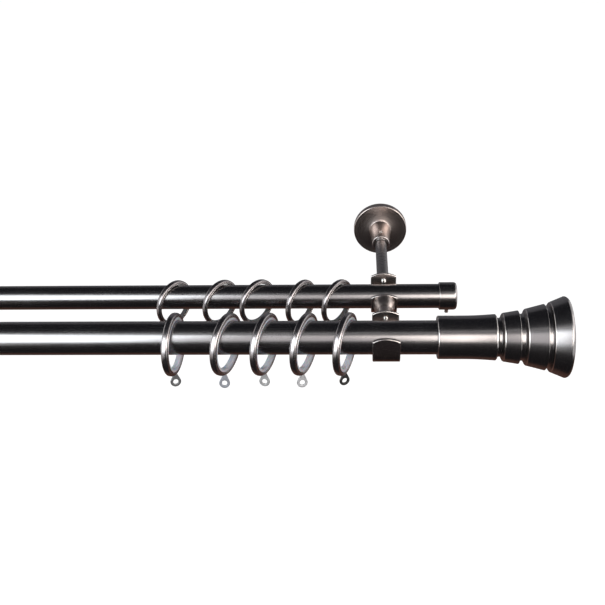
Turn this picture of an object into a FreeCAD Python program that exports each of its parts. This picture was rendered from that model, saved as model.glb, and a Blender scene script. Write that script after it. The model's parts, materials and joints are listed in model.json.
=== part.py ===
import FreeCAD, Part
import math
import os
import Sketcher

# Double curtain pole: two parallel tubes on a pair of wall brackets, with rings, finials and end caps.
#
# Millimetres, +Z up. The origin is on the wall, at the middle of the right bracket's wall plate.
# +X runs along the tubes towards the right finial and +Y runs into the wall, so the tubes lie at -Y.
# Both tubes and both bracket stems have their axes at Z = 0.

doc = FreeCAD.newDocument("double_curtain_pole")
sheet = doc.addObject("Spreadsheet::Sheet", "Sizes")


class Size:
    """A length or an angle with the sheet formula that gives it, so that features can be bound to it."""

    def __init__(self, value, formula):
        self.value = float(value)
        self.formula = formula

    def __add__(self, other):
        return join(self, "+", other)

    def __radd__(self, other):
        return join(other, "+", self)

    def __sub__(self, other):
        return join(self, "-", other)

    def __rsub__(self, other):
        return join(other, "-", self)

    def __mul__(self, other):
        return join(self, "*", other)

    def __rmul__(self, other):
        return join(other, "*", self)

    def __truediv__(self, other):
        return join(self, "/", other)

    def __neg__(self):
        return join(0, "-", self)


def as_size(number):
    return number if isinstance(number, Size) else Size(number, "(%r)" % float(number))


def join(left, sign, right):
    a = as_size(left)
    b = as_size(right)
    results = {"+": a.value + b.value, "-": a.value - b.value, "*": a.value * b.value}
    value = results[sign] if sign in results else a.value / b.value
    return Size(value, "(%s %s %s)" % (a.formula, sign, b.formula))


def root(size):
    return Size(math.sqrt(size.value), "sqrt(%s)" % size.formula)


def cell(name, value, note):
    """Write one driving dimension into the sheet and return it."""
    row = cell.next_row
    cell.next_row = row + 1
    sheet.set("A%d" % row, note)
    sheet.set("B%d" % row, repr(value))
    sheet.setAlias("B%d" % row, name)
    return Size(value, "Sizes.%s" % name)


cell.next_row = 1

# Tubes
pole_length = cell("pole_length", 1200.0, "length of both tubes")
bracket_inset = cell("bracket_inset", 55.0, "tube end to the middle of its bracket")
front_diameter = cell("front_pole_diameter", 25.0, "front tube")
front_wall = cell("front_pole_wall", 1.2, "front tube's wall")
rear_diameter = cell("rear_pole_diameter", 19.0, "rear tube")
rear_wall = cell("rear_pole_wall", 1.0, "rear tube's wall")
front_projection = cell("front_projection", 182.0, "wall to the front tube's axis")
pole_spacing = cell("pole_spacing", 60.0, "front tube's axis to the rear tube's axis")

# Gaps between pieces that are put together
slip = cell("slip_gap", 0.1, "gap all round where one piece slides into another")
contact = cell("contact_gap", 0.05, "gap where one piece rests against another")

# Wall plate behind the rose
plate_diameter = cell("plate_diameter", 39.0, "wall plate")
plate_thickness = cell("plate_thickness", 3.0, "wall plate")
hub_diameter = cell("hub_diameter", 13.0, "hub that carries the stem")
hub_height = cell("hub_height", 11.0, "hub's height over the plate")
fixing_circle = cell("fixing_circle", 27.0, "circle through the wall screws")
fixing_hole = cell("fixing_hole", 4.5, "hole for a wall screw")
fixing_sink = cell("fixing_sink", 8.4, "countersink of a wall screw's hole")
fixing_count = 3

# Rose
rose_diameter = cell("rose_diameter", 46.2, "rose at the wall")
rose_face_diameter = cell("rose_face_diameter", 44.6, "rose's face")
rose_rim = cell("rose_rim", 6.0, "depth of the rose's rim")
rose_wall = cell("rose_wall", 1.4, "wall of the rose")
rose_rise = cell("rose_rise", 1.2, "rise of the face from its edge to the boss")
boss_base = cell("boss_base", 18.6, "boss where it leaves the face")
boss_tip = cell("boss_tip", 14.0, "boss at its mouth")
boss_length = cell("boss_length", 25.5, "boss from the face to its mouth")
boss_edge = cell("boss_edge", 0.7, "chamfer round the boss's mouth")
mouth_diameter = cell("mouth_diameter", 11.6, "recess round the stem at the boss's mouth")
mouth_depth = cell("mouth_depth", 1.6, "depth of that recess")
rose_screw_inset = cell("rose_screw_inset", 8.0, "boss's mouth to its grub screw")

# Stem and the link between the cups
stem_diameter = cell("stem_diameter", 9.5, "stem")
tapping_depth = cell("tapping_depth", 13.0, "depth of a tapped hole in the stem or the link")
link_diameter = cell("link_diameter", 10.4, "link between the two cups")
bell_diameter = cell("bell_diameter", 16.6, "bell at the link's rear end")
bell_length = cell("bell_length", 10.5, "length of that bell")
bell_rim = cell("bell_rim", 1.2, "straight rim of that bell")

# Cups
cup_width = cell("cup_width", 20.0, "cup along the tube")
cup_wall = cell("cup_wall", 2.8, "wall of a cup")
arch_drop = cell("arch_drop", 2.8, "how far a cup wall's arched top falls to its corners")
cup_edge = cell("cup_edge", 0.5, "rounding of a cup's outer edges")
front_back_height = cell("front_cup_back_height", 14.1, "front cup's wall-side arch over the axis")
front_front_height = cell("front_cup_front_height", 8.0, "front cup's room-side arch over the axis")
front_corner = cell("front_cup_corner", 9.5, "front cup's lower outer corners")
rear_back_height = cell("rear_cup_back_height", 14.4, "rear cup's wall-side arch over the axis")
rear_front_height = cell("rear_cup_front_height", 8.1, "rear cup's room-side arch over the axis")
rear_corner = cell("rear_cup_corner", 11.6, "rear cup's lower outer corners")

# Screws
cup_screw_diameter = cell("cup_screw_diameter", 5.0, "screws that hold the cups")
cup_screw_head = cell("cup_screw_head", 9.0, "their countersunk heads")
cup_screw_length = cell("cup_screw_length", 12.0, "their length with the head")
cup_screw_land = cell("cup_screw_land", 0.3, "straight rim of their heads")
grub_diameter = cell("grub_diameter", 4.0, "grub screws in the cups, roses and finials")
grub_socket = cell("grub_socket", 2.0, "hexagon socket across its flats")
grub_socket_depth = cell("grub_socket_depth", 1.6, "depth of that socket")
lock_height = cell("lock_screw_height", 8.2, "a cup's grub screw over the tube's axis")
lock_tip = cell("lock_tip", 1.0, "radius of that screw's tip, and its cone's height")
lock_proud = cell("lock_proud", 0.8, "how far it stands out of the cup's back")
cap_screw_diameter = cell("cap_screw_diameter", 3.2, "screw under an end cap")
cap_screw_proud = cell("cap_screw_proud", 3.9, "how far it stands below the cap")

# End caps of the rear tube
cap_diameter = cell("cap_diameter", 21.6, "end cap")
cap_length = cell("cap_length", 13.6, "end cap")
cap_end = cell("cap_end", 1.4, "end wall of the cap")
cap_round = cell("cap_round", 2.4, "rounding of the cap's outer edge")
cap_chamfer = cell("cap_chamfer", 0.3, "edge at the cap's mouth")
cap_screw_inset = cell("cap_screw_inset", 7.2, "cap's outer end to its screw")

# Finials, measured from the collar's mouth
socket_depth = cell("socket_depth", 18.0, "tube's length inside the finial")
collar_diameter = cell("collar_diameter", 31.8, "collar at its mouth")
collar_straight = cell("collar_straight", 18.0, "straight length of the collar")
collar_flare = cell("collar_flare", 34.0, "collar where its flare ends")
collar_length = cell("collar_length", 42.2, "collar up to the end of its flare")
collar_edge = cell("collar_edge", 0.9, "rounding of the collar's edges")
neck_diameter = cell("neck_diameter", 28.4, "first groove")
neck_start = cell("neck_start", 43.7, "start of the first groove's floor")
neck_end = cell("neck_end", 45.5, "end of that floor")
bead_diameter = cell("bead_diameter", 35.4, "first bead where its face ends")
bead_start = cell("bead_start", 47.2, "that place along the finial")
bead_flare = cell("bead_flare", 39.1, "first bead at its far edge")
bead_end = cell("bead_end", 58.4, "that place along the finial")
waist_diameter = cell("waist_diameter", 34.2, "second groove")
waist_start = cell("waist_start", 59.8, "start of the second groove's floor")
waist_end = cell("waist_end", 61.2, "end of that floor")
drum_diameter = cell("drum_diameter", 41.2, "second bead where its face ends")
drum_start = cell("drum_start", 63.4, "that place along the finial")
drum_flare = cell("drum_flare", 48.4, "second bead at its far edge")
drum_end = cell("drum_end", 77.2, "that place along the finial")
throat_diameter = cell("throat_diameter", 43.0, "third groove")
throat_start = cell("throat_start", 78.6, "start of the third groove's floor")
throat_end = cell("throat_end", 79.4, "end of that floor")
horn_diameter = cell("horn_diameter", 50.8, "end horn where its face ends")
horn_start = cell("horn_start", 80.9, "that place along the finial")
horn_flare = cell("horn_flare", 59.3, "end horn at its rim")
horn_end = cell("horn_end", 91.2, "that place along the finial")
horn_round = cell("horn_round", 3.2, "rounding of the rim")
horn_dome = cell("horn_dome", 0.8, "rise of the end face")
bead_edge = cell("bead_edge", 0.6, "rounding of each bead's far edge")
finial_screw_inset = cell("finial_screw_inset", 9.0, "collar's mouth to its grub screw")

# Rings
shell_wall = cell("shell_wall", 0.9, "metal of a ring's channel")
liner_lip = cell("liner_lip", 0.5, "chamfer of a liner's inner edges")
eye_diameter = cell("eye_diameter", 8.2, "rounded end of an eyelet")
eye_hole = cell("eye_hole", 4.0, "hook hole in an eyelet")
eye_drop = cell("eye_drop", 7.0, "ring's outside to the middle of that hole")
eye_shoulder = cell("eye_shoulder", 2.6, "eyelet's width at its shoulder")
eye_thickness = cell("eye_thickness", 1.4, "eyelet's plate")
eye_gap = cell("eye_gap", 0.4, "ring's outside to the eyelet's shoulder")
pin_diameter = cell("pin_diameter", 1.5, "eyelet's pin")
pin_head = cell("pin_head", 2.3, "head of that pin")
pin_head_height = cell("pin_head_height", 0.8, "head of that pin")
pin_clearance = cell("pin_clearance", 0.08, "gap round the pin in the ring's wall")
ring_seat = cell("ring_seat", 0.1, "gap between a liner and the tube that it hangs on")


class RingSizes:
    """The sizes of one kind of ring, as cells whose names start with its own word."""

    def __init__(self, word, outside, bore, width, flange, band, crown):
        self.outside = cell(word + "_ring_outside", outside, word + " ring")
        self.bore = cell(word + "_ring_bore", bore, word + " ring's liner")
        self.width = cell(word + "_ring_width", width, word + " ring's channel")
        self.flange = cell(word + "_ring_flange", flange, word + " ring's channel, seen from its side")
        self.band = cell(word + "_ring_band", band, "inner face of the " + word + " ring's liner")
        self.crown = cell(word + "_ring_crown", crown, word + " ring's rounded outer edges")


front_ring = RingSizes("front", 47.5, 36.6, 5.2, 3.2, 4.6, 1.9)
rear_ring = RingSizes("rear", 37.4, 30.4, 4.4, 2.6, 3.2, 1.7)


class RingPlace:
    """Where one ring hangs: its place along the tube and its three turns, in degrees."""

    def __init__(self, word, number, along, swing, roll, facing):
        start = "%s_ring_%d_" % (word, number)
        self.along = cell(start + "along", along, "right bracket to the ring, along the tube")
        self.swing = cell(start + "swing", swing, "the ring's turn about the upright")
        self.roll = cell(start + "roll", roll, "the ring's turn about its own axis")
        self.facing = cell(start + "facing", facing, "the eyelet's turn about the upright")


front_places = [
    RingPlace("front", 1, -157.3, -7.8, 8.0, 20.0),
    RingPlace("front", 2, -118.0, -19.4, 14.0, 3.0),
    RingPlace("front", 3, -89.2, -18.8, 8.0, -8.0),
    RingPlace("front", 4, -60.0, -20.0, 12.0, 12.0),
    RingPlace("front", 5, -29.8, -18.0, 5.0, 26.0),
]
rear_places = [
    RingPlace("rear", 1, -165.9, -35.2, 4.0, 10.0),
    RingPlace("rear", 2, -129.0, -38.7, 6.0, -12.0),
    RingPlace("rear", 3, -99.7, -40.3, 3.0, 16.0),
    RingPlace("rear", 4, -65.2, -33.6, 5.0, 0.0),
    RingPlace("rear", 5, -36.6, -36.7, 2.0, 8.0),
]

# Worked out from the cells
spacing = pole_length - bracket_inset * 2
front_y = -front_projection
rear_y = pole_spacing - front_projection
front_radius = front_diameter / 2
rear_radius = rear_diameter / 2
front_seat = front_radius + slip
rear_seat = rear_radius + slip
front_half = front_seat + cup_wall
rear_half = rear_seat + cup_wall
stem_radius = stem_diameter / 2
plate_front = -plate_thickness
hub_front = plate_front - hub_height
face_front = -rose_rim - rose_rise
boss_front = face_front - boss_length
stem_front = rear_y + rear_half
link_rear = rear_y - rear_half
link_front = front_y + front_half
tapping_radius = cup_screw_diameter / 2 + contact

doc.recompute()


def vector(x, y, z):
    return FreeCAD.Vector(as_size(x).value, as_size(y).value, as_size(z).value)


def new_body(label):
    body = doc.addObject("PartDesign::Body", label)
    body.Label = label
    return body


def origin_feature(body, role):
    return next(f for f in body.Origin.OriginFeatures if f.Role == role)


def new_sketch(body, name, plane, raised=None):
    """A sketch on one of the body's own planes, or raised off it along its normal."""
    sketch = body.newObject("Sketcher::SketchObject", name)
    sketch.AttachmentSupport = [(origin_feature(body, plane), "")]
    sketch.MapMode = "FlatFace"
    if raised is not None:
        sketch.AttachmentOffset = FreeCAD.Placement(vector(0, 0, raised), FreeCAD.Rotation())
        sketch.setExpression("AttachmentOffset.Base.z", raised.formula)
    return sketch


def bind(sketch, constraint, size):
    index = sketch.addConstraint(constraint)
    sketch.setExpression("Constraints[%d]" % index, size.formula)


def pin_down(sketch, geometry, point, x, y):
    """Hold one point of the sketch at x and y from its origin."""
    x = as_size(x)
    y = as_size(y)
    bind(sketch, Sketcher.Constraint("DistanceX", -1, 1, geometry, point, x.value), x)
    bind(sketch, Sketcher.Constraint("DistanceY", -1, 1, geometry, point, y.value), y)


def circle(sketch, x, y, radius):
    radius = as_size(radius)
    ring = Part.Circle(vector(x, y, 0), FreeCAD.Vector(0, 0, 1), radius.value)
    index = sketch.addGeometry(ring, False)
    bind(sketch, Sketcher.Constraint("Radius", index, radius.value), radius)
    pin_down(sketch, index, 3, x, y)


def bend(radius, x, y, left=True):
    """A corner reached by an arc, with its middle on the left or right of the way there."""
    return (x, y, as_size(radius), left)


def arc_between(start, end, radius, left):
    """The short arc from start to end, and whether it runs anticlockwise."""
    chord = end - start
    middle = (start + end) * 0.5
    across = FreeCAD.Vector(-chord.y, chord.x, 0).normalize()
    rise = math.sqrt(max(radius ** 2 - (chord.Length / 2) ** 2, 0.0))
    centre = middle + across * (rise if left else -rise)
    from_start = math.atan2(start.y - centre.y, start.x - centre.x)
    from_end = math.atan2(end.y - centre.y, end.x - centre.x)
    full = Part.Circle(centre, FreeCAD.Vector(0, 0, 1), radius)
    if left:
        return Part.ArcOfCircle(full, from_start, from_end)
    return Part.ArcOfCircle(full, from_end, from_start)


def outline(sketch, corners):
    """A closed outline of lines and arcs through the corners, each held at its sizes."""
    count = len(corners)
    ends = []
    for number, corner in enumerate(corners):
        start = vector(corners[number - 1][0], corners[number - 1][1], 0)
        end = vector(corner[0], corner[1], 0)
        if len(corner) == 2:
            index = sketch.addGeometry(Part.LineSegment(start, end), False)
            ends.append((index, 1, 2))
            continue
        arc = arc_between(start, end, corner[2].value, corner[3])
        index = sketch.addGeometry(arc, False)
        ends.append((index, 1, 2) if corner[3] else (index, 2, 1))
    for number, corner in enumerate(corners):
        index, _, last = ends[number]
        following, first, _ = ends[(number + 1) % count]
        sketch.addConstraint(Sketcher.Constraint("Coincident", index, last, following, first))
        pin_down(sketch, index, last, corner[0], corner[1])
        if len(corner) == 4:
            bind(sketch, Sketcher.Constraint("Radius", index, corner[2].value), corner[2])


def pad(body, name, sketch, length, symmetric=False):
    feature = body.newObject("PartDesign::Pad", name)
    feature.Profile = sketch
    feature.SideType = "Symmetric" if symmetric else "One side"
    feature.Length = as_size(length).value
    feature.setExpression("Length", as_size(length).formula)
    return feature


def revolve(body, name, corners, axis):
    """A turned solid: its outline lies on the XY plane and turns about the X or Y axis."""
    sketch = new_sketch(body, name + "_outline", "XY_Plane")
    outline(sketch, corners)
    feature = body.newObject("PartDesign::Revolution", name)
    feature.Profile = sketch
    feature.ReferenceAxis = (sketch, ["H_Axis" if axis == "X" else "V_Axis"])
    feature.Angle = 360.0
    return feature


def cut(body, name, sketch, reverse, depth=None):
    """Pocket the sketch through the body, and make sure that it took material away."""
    doc.recompute()
    before = body.Shape.Volume
    feature = body.newObject("PartDesign::Pocket", name)
    feature.Profile = sketch
    feature.Reversed = reverse
    if depth is None:
        feature.Type = "ThroughAll"
    else:
        feature.Length = as_size(depth).value
        feature.setExpression("Length", as_size(depth).formula)
    doc.recompute()
    if body.Shape.Volume > before - 1e-6:
        raise RuntimeError("%s in %s takes nothing away" % (name, body.Label))
    return feature


def place(body, x, y, z, rotation=None):
    """Put a finished piece where it belongs, with its place bound to the sheet."""
    body.Placement = FreeCAD.Placement(vector(x, y, z), rotation or FreeCAD.Rotation())
    for letter, size in (("x", x), ("y", y), ("z", z)):
        body.setExpression("Placement.Base." + letter, as_size(size).formula)
    return body


UPRIGHT = FreeCAD.Vector(0, 0, 1)
ALONG = FreeCAD.Vector(1, 0, 0)
TURNED = FreeCAD.Rotation(UPRIGHT, 180)

pieces = []


def finish(piece):
    pieces.append(piece)
    return piece


def tube(label, diameter, wall, y):
    body = new_body(label)
    section = new_sketch(body, "section", "YZ_Plane")
    circle(section, 0, 0, diameter / 2)
    circle(section, 0, 0, diameter / 2 - wall)
    pad(body, "tube", section, pole_length)
    return finish(place(body, bracket_inset - pole_length, y, 0))


def wall_plate(label, x):
    """A disc with a hub that takes the stem's end, and countersunk holes for the wall screws."""
    body = new_body(label)
    bore = stem_radius + slip
    revolve(body, "plate", [
        (0, 0),
        (0, plate_front),
        (bore, plate_front),
        (bore, hub_front),
        (hub_diameter / 2, hub_front),
        (hub_diameter / 2, plate_front),
        (plate_diameter / 2, plate_front),
        (plate_diameter / 2, 0),
    ], "Y")
    # The hole's outline turns about its sketch's own axis, which is moved out to the fixing circle.
    drill = new_sketch(body, "screw_hole", "YZ_Plane")
    centre = fixing_circle / 2
    drill.AttachmentOffset = FreeCAD.Placement(vector(0, centre, 0), FreeCAD.Rotation())
    drill.setExpression("AttachmentOffset.Base.y", centre.formula)
    hole = fixing_hole / 2
    sink = fixing_sink / 2
    sink_depth = sink - hole
    outline(drill, [
        (1, 0),
        (1, hole),
        (plate_front + sink_depth, hole),
        (plate_front, sink),
        (plate_front - 1, sink),
        (plate_front - 1, 0),
    ])
    doc.recompute()
    before = body.Shape.Volume
    groove = body.newObject("PartDesign::Groove", "screw_hole_cut")
    groove.Profile = drill
    groove.ReferenceAxis = (drill, ["H_Axis"])
    groove.Angle = 360.0
    pattern = body.newObject("PartDesign::PolarPattern", "screw_holes")
    pattern.Originals = [groove]
    pattern.Axis = (origin_feature(body, "Y_Axis"), [""])
    pattern.Angle = 360.0
    pattern.Occurrences = fixing_count
    body.Tip = pattern
    doc.recompute()
    straight = math.pi * hole.value ** 2 * (plate_thickness - sink_depth).value
    cone = math.pi * sink_depth.value / 3 * (hole.value ** 2 + hole.value * sink.value + sink.value ** 2)
    expected = (straight + cone) * fixing_count
    if abs(before - body.Shape.Volume - expected) > expected * 0.001:
        raise RuntimeError("the wall plate's holes aren't cut as they should be")
    return finish(place(body, x, 0, 0))


def rose(label, x):
    """A hollow cover over the wall plate, with a tapered boss that the stem passes through."""
    body = new_body(label)
    rim_radius = rose_diameter / 2
    face_radius = rose_face_diameter / 2
    bore = stem_radius + slip
    mouth = mouth_diameter / 2
    hub_room = hub_diameter / 2 + slip
    room_front = hub_front - contact
    inside_rim = face_radius - rose_wall
    inside_face = rose_wall - rose_rim
    revolve(body, "cover", [
        (rim_radius, 0),
        (rim_radius, boss_edge - rose_rim),
        (face_radius, -rose_rim),
        (boss_base / 2, face_front),
        (boss_tip / 2, boss_front + boss_edge),
        (boss_tip / 2 - boss_edge, boss_front),
        (mouth, boss_front),
        (mouth, boss_front + mouth_depth),
        (bore, boss_front + mouth_depth),
        (bore, room_front),
        (hub_room, room_front),
        (hub_room, inside_face),
        (inside_rim, inside_face),
        (inside_rim, 0),
    ], "Y")
    drill = new_sketch(body, "grub_hole", "XY_Plane")
    circle(drill, 0, boss_front + rose_screw_inset, grub_diameter / 2)
    cut(body, "grub_hole_cut", drill, True)
    return finish(place(body, x, 0, 0))


def stem(label, x):
    """The rod from the wall plate to the rear cup, tapped at its front end."""
    body = new_body(label)
    rear_end = plate_front - contact
    front_end = stem_front + contact
    edge = slip * 5
    revolve(body, "rod", [
        (0, rear_end),
        (stem_radius - edge, rear_end),
        (stem_radius, rear_end - edge),
        (stem_radius, front_end),
        (tapping_radius, front_end),
        (tapping_radius, front_end + tapping_depth),
        (0, front_end + tapping_depth),
    ], "Y")
    return finish(place(body, x, 0, 0))


def link(label, x):
    """The short rod between the cups, with a bell at its rear end and a tapped hole in each end."""
    body = new_body(label)
    rear_end = -contact
    front_end = link_front - link_rear + contact
    bell_radius = bell_diameter / 2
    rod_radius = link_diameter / 2
    fall = bell_radius - rod_radius
    run = bell_length - bell_rim
    curve = (fall * fall + run * run) / (fall * 2)
    revolve(body, "link", [
        (tapping_radius, rear_end),
        (bell_radius, rear_end),
        (bell_radius, -bell_rim),
        bend(curve, rod_radius, -bell_length, left=False),
        (rod_radius, front_end),
        (tapping_radius, front_end),
        (tapping_radius, front_end + tapping_depth),
        (0, front_end + tapping_depth),
        (0, rear_end - tapping_depth),
        (tapping_radius, rear_end - tapping_depth),
    ], "Y")
    return finish(place(body, x, link_rear, 0))


def cup_profile(sketch, seat, half, corner, back_height, front_height):
    """A cup's section across the tube: a round seat inside, walls and rounded corners outside."""
    outline(sketch, [
        (-half, corner - half),
        bend(corner, corner - half, -half),
        (half - corner, -half),
        bend(corner, half, corner - half),
        (half, back_height),
        (seat, back_height),
        (seat, 0),
        bend(seat, 0, -seat, left=False),
        bend(seat, -seat, 0, left=False),
        (-seat, front_height),
        (-half, front_height),
    ])


def arch_cut(body, name, height, reverse):
    """Cut one wall's top to an arch across the cup's width."""
    side = cup_width / 2
    radius = (side * side + arch_drop * arch_drop) / (arch_drop * 2)
    sketch = new_sketch(body, name + "_outline", "XZ_Plane")
    outline(sketch, [
        (-side, height + 1),
        (-side, height - arch_drop),
        bend(radius, 0, height, left=False),
        bend(radius, side, height - arch_drop, left=False),
        (side, height + 1),
    ])
    cut(body, name, sketch, reverse)


def sunk_hole(body, name, wall_y, depth, outward):
    """A hole through a cup's wall on its axis, countersunk from the inside."""
    inside = cup_screw_head / 2 + contact
    through = cup_screw_diameter / 2 + slip
    land = cup_screw_land + contact
    sketch = new_sketch(body, name + "_outline", "XY_Plane")
    start = wall_y - outward
    end = wall_y + (depth + 1) * outward
    outline(sketch, [
        (0, start),
        (inside, start),
        (inside, wall_y + land * outward),
        (through, wall_y + (land + inside - through) * outward),
        (through, end),
        (0, end),
    ])
    doc.recompute()
    before = body.Shape.Volume
    groove = body.newObject("PartDesign::Groove", name)
    groove.Profile = sketch
    groove.ReferenceAxis = (sketch, ["V_Axis"])
    groove.Angle = 360.0
    doc.recompute()
    if body.Shape.Volume > before - 1e-6:
        raise RuntimeError("%s in %s takes nothing away" % (name, body.Label))


def outer_side_edges(shape, side, half):
    """The edges where a cup's outside meets its two sides, without the arched tops."""
    names = []
    for number, edge in enumerate(shape.Edges, start=1):
        box = edge.BoundBox
        middle = edge.valueAt((edge.FirstParameter + edge.LastParameter) / 2)
        on_side = box.XLength < 1e-6 and abs(abs(middle.x) - side) < 1e-6
        outside = math.hypot(middle.y, middle.z) > half * 0.98
        top = middle.z > 0 and box.ZLength < 1e-6
        if on_side and outside and not top:
            names.append("Edge%d" % number)
    return names


def cup(label, x, y, seat, half, corner, back_height, front_height, linked):
    """A cradle for one tube. The linked one has a screw hole in its room-side wall too."""
    body = new_body(label)
    section = new_sketch(body, "section", "YZ_Plane")
    cup_profile(section, seat, half, corner, back_height, front_height)
    pad(body, "cradle", section, cup_width, symmetric=True)
    arch_cut(body, "back_arch", back_height, False)
    arch_cut(body, "front_arch", front_height, True)
    sunk_hole(body, "back_screw_hole", seat, cup_wall, 1)
    if linked:
        sunk_hole(body, "front_screw_hole", -seat, cup_wall, -1)
    drill = new_sketch(body, "lock_hole", "XZ_Plane")
    circle(drill, 0, lock_height, grub_diameter / 2 + contact)
    cut(body, "lock_hole_cut", drill, False)
    whole = body.Tip
    rounding = body.newObject("PartDesign::Fillet", "edges")
    rounding.Base = (whole, outer_side_edges(whole.Shape, cup_width.value / 2, half.value))
    rounding.Radius = cup_edge.value
    rounding.setExpression("Radius", cup_edge.formula)
    body.Tip = rounding
    return finish(place(body, x, y, 0))


def hexagon(body, name, plane, raised, reverse):
    """A hexagon socket, cut from a plane raised to the screw's end."""
    sketch = new_sketch(body, name + "_outline", plane, raised)
    corner = grub_socket / math.sqrt(3)
    outline(sketch, [(corner * math.cos(math.radians(60 * step)), corner * math.sin(math.radians(60 * step)))
                     for step in range(6)])
    cut(body, name, sketch, reverse, grub_socket_depth)


def cup_screw(label):
    """A countersunk screw with its head's face on the XZ plane and its shank towards +Y."""
    body = new_body(label)
    head = cup_screw_head / 2
    shank = cup_screw_diameter / 2
    revolve(body, "screw", [
        (0, 0),
        (head, 0),
        (head, cup_screw_land),
        (shank, cup_screw_land + head - shank),
        (shank, cup_screw_length - slip * 5),
        (shank - slip * 5, cup_screw_length),
        (0, cup_screw_length),
    ], "Y")
    hexagon(body, "socket", "XZ_Plane", contact, False)
    return body


def group(label, bodies):
    """Several separate fasteners of one kind, kept as one named piece."""
    compound = doc.addObject("Part::Compound", label)
    compound.Label = label
    compound.Links = bodies
    return finish(compound)


def cup_screws(label, x):
    """The screws inside the cups: one into the stem and one into each end of the link."""
    stem_screw = place(cup_screw(label + "_stem"), x, rear_y + rear_seat + contact, 0)
    rear_screw = place(cup_screw(label + "_rear"), x, rear_y - rear_seat - contact, 0, TURNED)
    front_screw = place(cup_screw(label + "_front"), x, front_y + front_seat + contact, 0)
    return group(label, [stem_screw, rear_screw, front_screw])


def lock_screw(label, x, y, pole_radius, half):
    """A grub screw through a cup's back wall, with its tip on the tube behind its crown."""
    body = new_body(label)
    shank = grub_diameter / 2
    reach = lock_height - lock_tip
    tip = root(pole_radius * pole_radius - reach * reach) + slip
    outer_end = half + lock_proud
    revolve(body, "screw", [
        (0, tip),
        (lock_tip, tip),
        (shank, tip + shank - lock_tip),
        (shank, outer_end),
        (0, outer_end),
    ], "Y")
    hexagon(body, "socket", "XZ_Plane", -outer_end, True)
    return place(body, x, y, lock_height)


def lock_screws(label, x):
    front = lock_screw(label + "_front", x, front_y, front_radius, front_half)
    rear = lock_screw(label + "_rear", x, rear_y, rear_radius, rear_half)
    return group(label, [front, rear])


def radial_screw(label, x, y, inner, outer, diameter, down):
    """A grub screw that points at an axis, from outer to inner, with its socket outwards."""
    body = new_body(label)
    shank = diameter / 2
    chamfer = slip * 4
    profile = new_sketch(body, "screw_outline", "XZ_Plane")
    outline(profile, [
        (0, inner),
        (shank - chamfer, inner),
        (shank, inner + chamfer),
        (shank, outer - chamfer),
        (shank - chamfer, outer),
        (0, outer),
    ])
    turned = body.newObject("PartDesign::Revolution", "screw")
    turned.Profile = profile
    turned.ReferenceAxis = (profile, ["V_Axis"])
    turned.Angle = 360.0
    hexagon(body, "socket", "XY_Plane", outer, False)
    rotation = FreeCAD.Rotation(ALONG, 180) if down else FreeCAD.Rotation()
    return finish(place(body, x, y, 0, rotation))


def finial(label, x, rotation):
    """A turned finial: a flared collar over the tube's end, two beads and a horn, with grooves between."""
    body = new_body(label)
    socket = front_radius + slip
    bottom = socket_depth + contact
    collar = collar_diameter / 2
    flare = collar_flare / 2
    rise = flare - collar
    sweep = collar_length - collar_edge - collar_straight
    flare_radius = (rise * rise + sweep * sweep) / (rise * 2)
    rim = horn_flare / 2
    end_face = horn_end + horn_round
    revolve(body, "turning", [
        (0, socket),
        (0, collar - collar_edge),
        bend(collar_edge, collar_edge, collar, left=False),
        (collar_straight, collar),
        bend(flare_radius, collar_length - collar_edge, flare),
        bend(collar_edge, collar_length, flare - collar_edge, left=False),
        (neck_start, neck_diameter / 2),
        (neck_end, neck_diameter / 2),
        (bead_start, bead_diameter / 2),
        (bead_end - bead_edge, bead_flare / 2),
        bend(bead_edge, bead_end, bead_flare / 2 - bead_edge, left=False),
        (waist_start, waist_diameter / 2),
        (waist_end, waist_diameter / 2),
        (drum_start, drum_diameter / 2),
        (drum_end - bead_edge, drum_flare / 2),
        bend(bead_edge, drum_end, drum_flare / 2 - bead_edge, left=False),
        (throat_start, throat_diameter / 2),
        (throat_end, throat_diameter / 2),
        (horn_start, horn_diameter / 2),
        (horn_end, rim),
        bend(horn_round, end_face, rim - horn_round, left=False),
        (end_face + horn_dome, 0),
        (bottom, 0),
        (bottom, socket),
    ], "X")
    drill = new_sketch(body, "grub_hole", "XY_Plane")
    circle(drill, finial_screw_inset, 0, grub_diameter / 2)
    cut(body, "grub_hole_cut", drill, False)
    return finish(place(body, x, front_y, 0, rotation))


def end_cap(label, x, rotation):
    """A turned cap over the rear tube's end, with its outer edge rounded."""
    body = new_body(label)
    outer = cap_diameter / 2
    socket = rear_radius + slip
    bottom = cap_length - cap_end
    revolve(body, "turning", [
        (0, socket),
        (0, outer - cap_chamfer),
        (cap_chamfer, outer),
        (cap_length - cap_round, outer),
        bend(cap_round, cap_length, outer - cap_round, left=False),
        (cap_length, 0),
        (bottom, 0),
        (bottom, socket),
    ], "X")
    drill = new_sketch(body, "screw_hole", "XY_Plane")
    circle(drill, cap_length - cap_screw_inset, 0, cap_screw_diameter / 2 + contact)
    cut(body, "screw_hole_cut", drill, False)
    return finish(place(body, x, rear_y, 0, rotation))


def hang_drop(sizes, pole_radius, swing):
    """How far a ring's middle hangs below the tube's axis when its liner rests on the turned tube."""
    turn = math.radians(abs(swing.value))
    bore = sizes.bore.value / 2
    edge = sizes.band.value / 2
    lip = liner_lip.value
    rest = pole_radius.value + ring_seat.value

    def nearest(drop):
        gaps = []
        for step in range(361):
            angle = math.radians(step / 2)
            for across, radius in ((0, bore), (edge - lip, bore), (edge, bore + lip)):
                sideways = abs(radius * math.cos(angle)) * math.cos(turn) - across * math.sin(turn)
                gaps.append(math.hypot(max(sideways, 0), radius * math.sin(angle) - drop))
        return min(gaps)

    low = 0.0
    high = bore - pole_radius.value
    for _ in range(30):
        middle = (low + high) / 2
        if nearest(middle) >= rest:
            low = middle
        else:
            high = middle
    return low


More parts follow.
